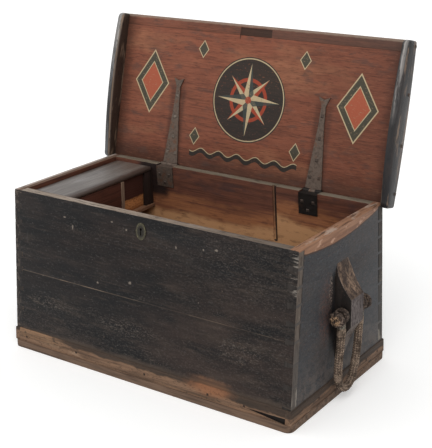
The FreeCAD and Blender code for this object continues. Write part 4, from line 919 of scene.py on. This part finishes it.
class SEACHEST_OT_plinth(bpy.types.Operator):
    """Dresses the plinth strips, the bottom planks and their nails."""

    bl_idname = "seachest.plinth"
    bl_label = "Plinth and bottom"

    def execute(self, context):
        easing = sizes().board_easing
        nails = wrought_iron("Rusted nail iron", "#3a302a", colours().rust, (0.6, 0.85))
        # Painted shade: the faces inside the broken plinth edge are near-black.
        gap_shade = bare_pine("Painted shade in the broken edge", "#17120f", "#0d0a09")
        for way, axis, sides in (("long", "x", ("front", "back")), ("end", "y", ("left", "right"))):
            wood = self.plinth_wood("Plinth pine " + way, axis)
            for side in sides:
                worked_copy(
                    "plinth_" + side, easing, "plinth_wood", wood,
                    (gap_shade, lambda n, c: 0.32 < c.x < 0.44 and 0.0205 < c.z < 0.036 and abs(n.y) < 0.5 and c.y < 0),
                )
                finish_nodes(nails, "plinth_nails_" + side)
        under = bare_pine("Bottom plank pine", "#6a5546", "#42342b", shift=15.0)
        for node in ("bottom_plank_front", "bottom_plank_back"):
            worked_copy(node, easing, "bottom_wood", under)
        return {"FINISHED"}

    def plinth_wood(self, name, axis):
        """Bare weathered pine, tan at the left of the front and orange where the paint last came off, with the black
        paint of the boards run over its upper edge in a wavy line, lower to the right."""
        skin = Finish(name, axis)
        x, y, z = skin.place
        sway = skin.wavering(z, 0.03, 0.028, 0.5, 4.0)
        sway = skin.put("Math", sway, skin.overlap(skin.rise(x, 0.24, 0.30), 0.010), operation="ADD")
        over = skin.either(skin.rise(sway, 0.044, 0.050), skin.patches(0.03, 0.64, 0.72, 0.3, 12.0))
        dark = skin.patches(0.008, 0.62, 0.70, 0.3, 3.0)
        pale = ("#99806a", skin.patches(0.02, 0.58, 0.7, 0.2, 5.0), 0.6)
        grit = ("#2a211c", skin.rise(skin.figure(0.0034, 0.4, 55.0), 0.54, 0.68), 0.55)
        if axis == "x":
            tan, _ = skin.pine("#896a50", "#584434", 7.0)
            orange = skin.spot(skin.wavering(x, 0.03, 0.06), z, (0.215, 0.050), (0.090, 0.024))
            own = (
                (tan, skin.rise(x, -0.20, -0.34), skin.rise(sway, 0.030, 0.036), 0.75),
                ("#2f2823", skin.either(skin.overlap(over, skin.rise(x, -0.34, -0.26)), dark), 0.85),
                ("#8a5d41", orange, skin.rise(y, 0.01, -0.01), 0.8),
            )
        else:
            own = (("#2f2823", skin.either(over, dark), 0.85),)
        return skin.planed(colours().plinth_wood, "#43342a", pale, *own, grit, shift=8.0, depth=0.0007)


class SEACHEST_OT_till(bpy.types.Operator):
    """Dresses the till: its boards, its stile and bay, and its grey lid."""

    bl_idname = "seachest.till"
    bl_label = "Till"

    def execute(self, context):
        easing = sizes().board_easing
        for node, slot, wood in (
            ("till_floor", "till_wood", bare_pine("Till floor pine", "#7d5b44", "#4a3227", "y", shift=5.0)),
            ("till_side_front", "till_wood", bare_pine("Till pine", "#4d2b20", "#2c1913", "y", shift=2.0, bold=0.5)),
            # The back post of the till is near-black as painted shade over its stained pine.
            ("till_side_back", "till_wood", bare_pine("Till post pine in painted shade", "#2e1e18", "#1b1310", "z", shift=9.0)),
            ("till_stile", "stile_wood", bare_pine("Till stile pine", "#8a7260", "#5d4a3c", "z", shift=4.0)),
            ("till_bay_panel", "bay_wood", self.bay_panel()),
        ):
            worked_copy(node, easing * 0.6, slot, wood)
        worked_copy("till_lid", easing, "till_lid_wood", self.grey_lid())
        return {"FINISHED"}

    def bay_panel(self):
        """Stained pine whose lower part was never stained: bright orange-tan, hatched with knife cuts; the dark red
        upper part is partly stain and partly painted shade from the till lid above.
        """
        skin = Finish("Half-stained till bay pine with painted shade", "y")
        return skin.planed(
            "#b87c4c", "#754629",
            ("#5d3a24", skin.patches(0.0045, 0.52, 0.62, 0.6, 18.0), 0.6),
            # The dark red upper part: stain deepened with painted shade from the till lid above.
            ("#3d2119", skin.rise(skin.wavering(skin.place["Z"], 0.02, 0.008), 0.364, 0.368)),
            shift=6.0, bold=0.6,
        )

    def grey_lid(self):
        """A pine lid gone grey with handling: satin grey top, and brown painted shade along its edges, by the end board
        on the left and on the rounded edge on the right.
        """
        skin = Finish("Grey worn pine till lid", "y", 0.4)
        x, y, _ = skin.place
        sway = skin.wavering(x, 0.05, 0.03, 0.4, 3.0)
        return skin.planed(
            colours().till_lid_grey, "#5a5552",
            ("#7d7977", skin.patches(0.05, 0.5, 0.7, 0.4, 9.0), 0.6),
            ("#5b4636", skin.rise(skin.wavering(y, 0.08, 0.2), 0.05, 0.20), 0.5),
            # Brown painted shade along the left edge by the end board and on the rounded right edge.
            ("#3a2c25", skin.either(skin.rise(sway, -0.318, -0.296), skin.rise(sway, -0.398, -0.418)), 0.9),
            shift=6.0, rough=(0.38, 0.6), depth=0.0003,
        )


class SEACHEST_OT_lid(bpy.types.Operator):
    """Dresses the lid: painted outside, stained inside with a compass star, and cleats at its ends."""

    bl_idname = "seachest.lid"
    bl_label = "Lid"

    def execute(self, context):
        easing = sizes().board_easing
        top = self.lid_top("Worn black paint on lid")
        edge = bare_pine("Lid edge pine", "#5a4136", "#362820", shift=7.0)
        for node, name, emblem in (
            ("lid_panel", "Stained pine with painted compass", True),
            ("lid_front_strip", "Stained pine lid strip", False),
        ):
            worked_copy(
                node, easing, "lid_wood", edge,
                (self.inside_of_lid(name, emblem), lambda n, c: n.y < -0.6),
                (top, lambda n, c: n.y > 0.3),
            )
        cleat = self.cleat_paint("Glossy worn paint on cleats")
        opened = Matrix.Rotation(-LID_ANGLE, 3, "X")
        nails = [
            LID_AXIS + opened @ (Vector((0, share * RIM_HALF, CLEAT_NAIL_HEIGHT)) - LID_AXIS) for share in CLEAT_NAILS
        ]
        for side, _ in SIDES:
            worked_copy(
                "lid_cleat_" + side, sizes().cleat_easing, "cleat_wood", cleat,
                plugs=[(nail.y, nail.z) for nail in nails],
            )
        return {"FINISHED"}

    def on_lid(self, skin):
        """Lays a finish on the coordinates of the shut lid. Gives the distance from the middle, which is below 0 at
        the left, the way up from the hinge to the front edge, and the height."""
        turned = Matrix.Rotation(LID_ANGLE, 3, "X") @ LID_AXIS
        skin.where = skin.put(
            "Mapping", named={"Vector": skin.where, "Location": LID_AXIS - turned, "Rotation": (LID_ANGLE, 0, 0)}
        )
        x, y, z = skin.place
        return x, skin.put("Math", LID_AXIS.y, y, operation="SUBTRACT"), z

    def lid_top(self, name):
        """Black oil paint on the crowned top of the lid, brushed out along it, dusty in clouds and rubbed brown along
        its long edges."""
        skin = Finish(name, "x", 0.13)
        tone = colours()
        x, up, _ = self.on_lid(skin)
        edge = skin.either(skin.rise(up, 0.40, 0.436), skin.rise(up, 0.04, 0.005))
        clouds = [
            skin.overlap(skin.spot(x, up, middle, half), 0.9)
            for middle, half in (
                ((-0.20, 0.15), (0.16, 0.07)), ((0.24, 0.28), (0.14, 0.08)), ((0.02, 0.38), (0.20, 0.05)),
            )
        ]
        return black_paint(
            skin, tone.black_paint, "#251f1d", edge, clouds,
            (tone.scuffed, edge, skin.patches(0.03, 0.36, 0.56, 0.3, 81.0), 0.6),
        )

    def inside_of_lid(self, name, emblem):
        """Red-brown stained pine, satin with old varnish, darker towards the hinge and round the iron. The panel bears
        the emblem, and the strip the lock keeper's empty recess and its nail holes."""
        skin = Finish(name, "x", 0.15)
        tone = colours()
        x, up, z = self.on_lid(skin)
        aside = skin.put("Math", x, operation="ABSOLUTE")
        fine = skin.figure(0.0032, 0.16, 59.0)
        if emblem:
            marks = self.emblem(skin, x, aside, up)
        else:
            keeper = skin.overlap(skin.strip(z, 0.4574, 0.4592, 0.0003), skin.rise(aside, 0.0520, 0.0512))
            marks = [
                ("#4b3f39", skin.either(skin.rise(x, -0.35, 0.15), 0.3), 0.55),
                ("#33261f", keeper, 0.8),
                *(("#0f0b09", skin.spot(x, up, (at, 0.4285), (0.0045,) * 2)) for at in (-0.036, -0.020, 0.008, 0.037)),
                ("#8d7b6d", skin.rise(skin.wavering(up, 0.02, 0.006), 0.4165, 0.4205), 0.7),
            ]
        return skin.planed(
            tone.lid_wood, tone.lid_dark,
            ("#9a6a4e", skin.patches(0.07, 0.5, 0.75, 0.3, 2.0), 0.5),
            (tone.lid_dark, skin.patches(0.09, 0.5, 0.75, 0.5, 6.0), 0.55),
            ("#33231c", skin.rise(skin.wavering(up, 0.06, 0.05), 0.075, 0.01), 0.7),
            ("#3b2a23", skin.rise(skin.wavering(aside, 0.05, 0.04), 0.40, 0.45), 0.6),
            ("#2b211c", skin.strip(aside, 0.215, 0.268, 0.008), skin.rise(up, 0.27, 0.2), 0.5),
            (tone.lid_dark, skin.rise(x, 0.02, 0.42), 0.38),
            ("#38221b", skin.rise(fine, 0.52, 0.68), 0.45),
            ("#9a6b55", skin.rise(fine, 0.44, 0.30), 0.22),
            ("#4b3a34", skin.patches(0.030, 0.54, 0.68, 0.4, 57.0), 0.5),
            ("#b79a7c", skin.patches(0.007, 0.75, 0.77, 0.7, 31.0), 0.7),
            *marks,
            shift=9.0, bold=0.35, rough=(0.42, 0.62), depth=0.0004,
        )

    def emblem(self, skin, x, aside, up):
        """A compass star in a ring, with lozenges each side and a wavy sea line under them, in thin oil paint that has
        worn off in flecks."""
        tone = colours()
        reach = sizes().star_radius
        ring = reach * 1.16
        dark, cream, red = tone.emblem_dark, tone.emblem_cream, tone.emblem_red
        worn_off = skin.overlap(skin.patches(0.0040, 0.58, 0.72, 0.5, 40.0), 0.6)
        kept = skin.put("Math", 0.90, worn_off, operation="SUBTRACT", use_clamp=True)
        high = skin.put("Math", up, STAR_UP, operation="SUBTRACT")
        radius = skin.reach(x, high, (0, 0))
        angle = skin.put("Math", high, x, operation="ARCTAN2")
        eighths = skin.put("Math", skin.put("Math", angle, 4.0, operation="MULTIPLY"), operation="SINE")
        half = skin.rise(eighths, -0.02, 0.02)
        other = skin.put("Math", 1.0, half, operation="SUBTRACT")
        marks = [
            (dark, skin.rise(radius, ring + 0.0005, ring - 0.0005)),
            (cream, skin.strip(radius, ring - 0.006, ring - 0.003, 0.0006)),
            (red, skin.strip(radius, reach * 0.50, reach * 0.60, 0.0006)),
        ]
        for tip, waist, turn, lit, deep, unlit in (
            (reach * 0.86, reach * 0.20, math.pi / 4, other, red, half),
            (reach, reach * 0.22, 0.0, half, "#3a3f3c", other),
        ):
            points = self.star_points(skin, radius, angle, tip, waist, turn)
            marks += [(cream, points, lit), (deep, points, unlit)]
        marks.append((red, skin.rise(radius, 0.0105, 0.0095)))
        for middle, wide, tall, paint in (
            ((0.340, 0.235), 0.062, 0.094, cream), ((0.340, 0.235), 0.058, 0.088, dark),
            ((0.340, 0.235), 0.040, 0.060, cream), ((0.340, 0.235), 0.037, 0.056, red),
            ((0.168, 0.345), 0.018, 0.026, cream), ((0.168, 0.345), 0.015, 0.022, dark),
            ((0.168, 0.095), 0.018, 0.026, cream), ((0.168, 0.095), 0.015, 0.022, dark),
        ):
            marks.append((paint, self.lozenge(skin, (aside, up), middle, (wide, tall))))
        sea = skin.put("Math", skin.put("Math", x, math.tau / 0.062, operation="MULTIPLY"), operation="SINE")
        wave = skin.put("Math", sea, 0.0065, up, operation="MULTIPLY_ADD")
        sea_ends = skin.rise(aside, 0.181, 0.179)
        marks.append((dark, skin.strip(wave, 0.043, 0.056, 0.0007), sea_ends))
        marks.append((cream, skin.strip(wave, 0.0555, 0.0578, 0.0007), sea_ends))
        return [(*mark, kept) for mark in marks]

    def star_points(self, skin, radius, angle, tip, waist, turn):
        """Four tapering points, from a waist between them to the tip."""
        turned = skin.put("Math", angle, turn, operation="ADD")
        folded = skin.put("Math", turned, math.pi / 4, operation="PINGPONG")
        cosine, sine = (skin.put("Math", folded, operation=name) for name in ("COSINE", "SINE"))
        inner = waist * math.cos(math.pi / 4)
        lean = skin.put("Math", sine, (tip - inner) / inner, cosine, operation="MULTIPLY_ADD")
        edge = skin.put("Math", radius, lean, operation="MULTIPLY")
        return skin.rise(edge, tip + 0.0008, tip - 0.0008)

    def lozenge(self, skin, place, middle, half):
        """A lozenge on both sides of the star."""
        away = []
        for value, centre, edge in zip(place, middle, half):
            off = skin.put("Math", value, centre, operation="SUBTRACT")
            away.append(skin.put("Math", skin.put("Math", off, operation="ABSOLUTE"), edge, operation="DIVIDE"))
        return skin.rise(skin.put("Math", *away, operation="ADD"), 1.015, 0.985)

    def cleat_paint(self, name):
        """Glossy black paint on the lid's cleats, with a painted grey highlight along the upper half and painted grey
        sheen on the outer part of the left cleat, chipped, and worn to brown wood in long patches along the arrises,
        most of all on the left."""
        skin = Finish(name, "y", 0.28)
        tone = colours()
        x, up, _ = self.on_lid(skin)
        aside = skin.put("Math", x, operation="ABSOLUTE")
        wood, lines = skin.pine(tone.cleat_wear, "#3f332c", 5.0, 0.5)
        left = skin.rise(x, 0.0, -0.1)
        arrises = skin.either(
            skin.rise(aside, CLEAT_INNER + 0.002, CLEAT_INNER), skin.rise(aside, CLEAT_OUTER - 0.002, CLEAT_OUTER)
        )
        inner_left = skin.overlap(left, skin.strip(aside, CLEAT_INNER - 0.0005, CLEAT_INNER + 0.0045, 0.0020))
        worn = skin.patches(0.020, 0.64, 0.72, 0.16, 3.0, more=skin.either(arrises, inner_left))
        across = skin.wavering(aside, 0.03, 0.004)
        highlight_core = skin.strip(across, 0.4590, 0.4640, 0.0016)
        highlight_margin = skin.overlap(skin.strip(across, 0.4570, 0.4690, 0.0030), 0.6)
        # A painted highlight in grey along the upper half of the cleats' faces.
        painted_highlight = (
            skin.rise(skin.wavering(up, 0.08, 0.10), 0.20, 0.30), skin.either(highlight_core, highlight_margin),
            skin.patches(0.012, 0.36, 0.56, 0.1, 13.0),
        )
        paint = skin.coats(
            tone.cleat_paint,
            ("#2c2523", skin.patches(0.02, 0.45, 0.65, 0.3, 11.0), 0.7),
            # Painted grey sheen on the outer part of the left cleat's face.
            ("#5f6062", left, skin.rise(aside, 0.4590, 0.4620), skin.patches(0.016, 0.32, 0.60, 0.1, 15.0), 0.8),
            ("#37281f", left, skin.rise(aside, CLEAT_INNER, CLEAT_INNER - 0.0015), 0.75),
            (wood, inner_left, 0.85),
            ("#a39e9a", *painted_highlight, 0.8),
            (wood, worn, 0.85),
            ("#121010", skin.patches(0.006, 0.58, 0.66, 0.3, 16.0), 0.7),
        )
        return skin.surface(paint, (0.3, 0.55), lines, 0.0007)


class SEACHEST_OT_ironwork(bpy.types.Operator):
    """Gives the hinges, lock, key plate, nails and bolts their metals."""

    bl_idname = "seachest.ironwork"
    bl_label = "Ironwork"

    def execute(self, context):
        tone = colours()
        for finish, nodes in (
            (
                wrought_iron("Wrought iron", tone.iron, tone.rust),
                ["hinge_leaf_left", *both("hinge_strap", "hinge_pin", "becket_bolt")],
            ),
            (wrought_iron("Black wrought iron", "#262220", "#3a2b23"), ["hinge_leaf_right"]),
            (wrought_iron("Black lock iron", "#3a3531", "#56392a"), ["lock_case", "lock_bolt", "lock_nails"]),
            (
                wrought_iron("Forged nail heads", "#4a403a", tone.rust),
                [*both("leaf_nails", "cleat_nails", "block_nails"), "strap_nails_right"],
            ),
            (wrought_iron("Rubbed nail heads", "#71675e", "#5b4a3f"), ["strap_nails_left"]),
            (self.dull_brass(), ["key_plate"]),
        ):
            finish_nodes(finish, *nodes)
        return {"FINISHED"}

    def dull_brass(self):
        """Cast brass gone olive and dull: near-black in its dished middle, and a painted highlight along its raised
        edge.
        """
        skin = Finish("Tarnished brass", gloss=0.5, metal=0.6)
        x, _, z = skin.place
        reach = skin.reach(x, z, PLATE_MIDDLE, PLATE_HALF)
        grain = skin.figure(0.004)
        paint = skin.coats(
            "#25221c",
            (colours().plate, skin.rise(reach, 0.60, 0.74)),
            # A painted highlight along the plate's raised edge.
            ("#7b7658", skin.rise(reach, 0.80, 0.90), skin.rise(grain, 0.48, 0.60), 0.65),
            ("#1d1a15", skin.rise(grain, 0.56, 0.70), 0.6),
        )
        return skin.surface(paint, (0.45, 0.7), grain, 0.0005)


class SEACHEST_OT_blocks(bpy.types.Operator):
    """Dresses the becket blocks on the ends."""

    bl_idname = "seachest.blocks"
    bl_label = "Becket blocks"

    def execute(self, context):
        front, top, chin, flank, arris = (self.elm(*finish) for finish in (
            ("Elm block face", "#5c5351", "#3f3836", "#7b7370", 0.40),
            ("Elm block top", "#4a3d35", "#281f1b", "#8b7360", 0.80),
            ("Elm block chin", "#6b615b", "#4b423d", "#857b74", 0.35),
            # Near-black as painted shade on the blocks' flanks.
            ("Block flank in painted shade", "#1d1a18", "#141211", "#4a3c33", 0.12),
            ("Rubbed block arris", "#6b625c", "#453d39", "#8d847d", 0.45),
        ))
        for side, _ in SIDES:
            worked_copy(
                "becket_block_" + side, sizes().block_easing, "block_wood", front,
                # The flanks take the painted shade.
                (flank, lambda n, c: abs(n.y) > 0.93),
                (arris, lambda n, c: abs(n.y) > 0.25),
                (top, lambda n, c: c.z > 0.281),
                (chin, lambda n, c: c.z < 0.204),
            )
        return {"FINISHED"}

    def elm(self, name, light, dark, worn, how_worn):
        """Coarse elm with upright grain, bruised and rubbed in patches."""
        skin = Finish(name, "z", 0.15)
        return skin.planed(
            light, dark,
            (worn, skin.patches(0.022, 0.42, 0.66, 0.6, 4.0), how_worn),
            ("#241c1a", skin.patches(0.0048, 0.50, 0.60, 0.5, 14.0), 0.7),
            (worn, skin.patches(0.0040, 0.60, 0.70, 0.7, 19.0), 0.5),
            ("#1c1715", skin.patches(0.009, 0.62, 0.70, 0.7, 12.0), 0.6),
            shift=2.0, bold=0.7, rough=(0.55, 0.8), depth=0.0008,
        )


class SEACHEST_OT_stage(bpy.types.Operator):
    """Adds the pale floor, the soft lights and the white surroundings."""

    bl_idname = "seachest.stage"
    bl_label = "Stage"

    def execute(self, context):
        bpy.ops.object.select_all(action="DESELECT")
        bpy.ops.mesh.primitive_plane_add(size=60)
        floor = context.object
        floor.name = "studio_floor"
        floor.data.materials.append(self.floor_finish())
        for name, aim, strength, spread in (
            ("key_light", (0.35, -0.62, 0.70), 1.35, 50), ("fill_light", (-0.7, -0.5, 0.5), 0.45, 70),
        ):
            bpy.ops.object.light_add(type="SUN")
            lamp = context.object
            lamp.name = name
            lamp.data.energy = strength
            lamp.data.angle = math.radians(spread)
            lamp.rotation_euler = Vector(aim).to_track_quat("Z", "Y").to_euler()
        context.scene.world = self.surroundings()
        context.scene.view_settings.view_transform = "Standard"
        return {"FINISHED"}

    def floor_finish(self):
        """Matt pale paint, lit up a little for the camera and for reflections, so that it stays white."""
        finish = bpy.data.materials.new("Pale studio floor")
        finish.use_nodes = True
        tree = finish.node_tree
        shader = tree.nodes["Principled BSDF"]
        shader.inputs["Base Color"].default_value = linear("#f6f6f5")
        shader.inputs["Roughness"].default_value = 0.9
        shader.inputs["Emission Color"].default_value = (1, 1, 1, 1)
        rays = put(tree, "LightPath").node.outputs
        seen = put(tree, "Math", rays["Is Camera Ray"], rays["Is Glossy Ray"], operation="ADD")
        glow = put(tree, "Math", seen, 0.22, operation="MULTIPLY")
        tree.links.new(glow, shader.inputs["Emission Strength"])
        return finish

    def surroundings(self):
        """A soft white light from all sides, full white to the camera and in reflections."""
        world = bpy.data.worlds.new("Studio surroundings")
        world.use_nodes = True
        tree = world.node_tree
        rays = put(tree, "LightPath").node.outputs
        seen = rays["Is Camera Ray"]
        for name in ("Is Glossy Ray", "Is Transmission Ray"):
            seen = put(tree, "Math", seen, rays[name], operation="MAXIMUM")
        background = tree.nodes["Background"]
        background.inputs["Color"].default_value = (1, 1, 1, 1)
        tree.links.new(put(tree, "MapRange", seen, 0.0, 1.0, 0.62, 1.0), background.inputs["Strength"])
        return world


STEPS = (
    SEACHEST_OT_camera, SEACHEST_OT_beckets, SEACHEST_OT_knots, SEACHEST_OT_carcass, SEACHEST_OT_plinth,
    SEACHEST_OT_till, SEACHEST_OT_lid, SEACHEST_OT_ironwork, SEACHEST_OT_blocks, SEACHEST_OT_stage,
)


class SEACHEST_PT_panel(bpy.types.Panel):
    """Lists the pieces of the sea chest, their sizes and their colours."""

    bl_idname = "SEACHEST_PT_panel"
    bl_label = "Sea chest"
    bl_space_type = "VIEW_3D"
    bl_region_type = "UI"
    bl_category = "Sea chest"

    def draw(self, context):
        for step in STEPS:
            self.layout.operator(step.bl_idname)
        for group in (sizes(), colours()):
            for name in group.bl_rna.properties.keys():
                if name not in ("rna_type", "name"):
                    self.layout.prop(group, name)


CLASSES = (SeaChestSizes, SeaChestColours, *STEPS, SEACHEST_PT_panel)


def register():
    for made in CLASSES:
        bpy.utils.register_class(made)
    bpy.types.Scene.sea_chest_sizes = bpy.props.PointerProperty(type=SeaChestSizes)
    bpy.types.Scene.sea_chest_colours = bpy.props.PointerProperty(type=SeaChestColours)


def unregister():
    del bpy.types.Scene.sea_chest_colours
    del bpy.types.Scene.sea_chest_sizes
    for made in reversed(CLASSES):
        bpy.utils.unregister_class(made)


def main():
    register()
    for step in STEPS:
        group, name = step.bl_idname.split(".")
        getattr(getattr(bpy.ops, group), name)()


if __name__ == "__main__":
    main()
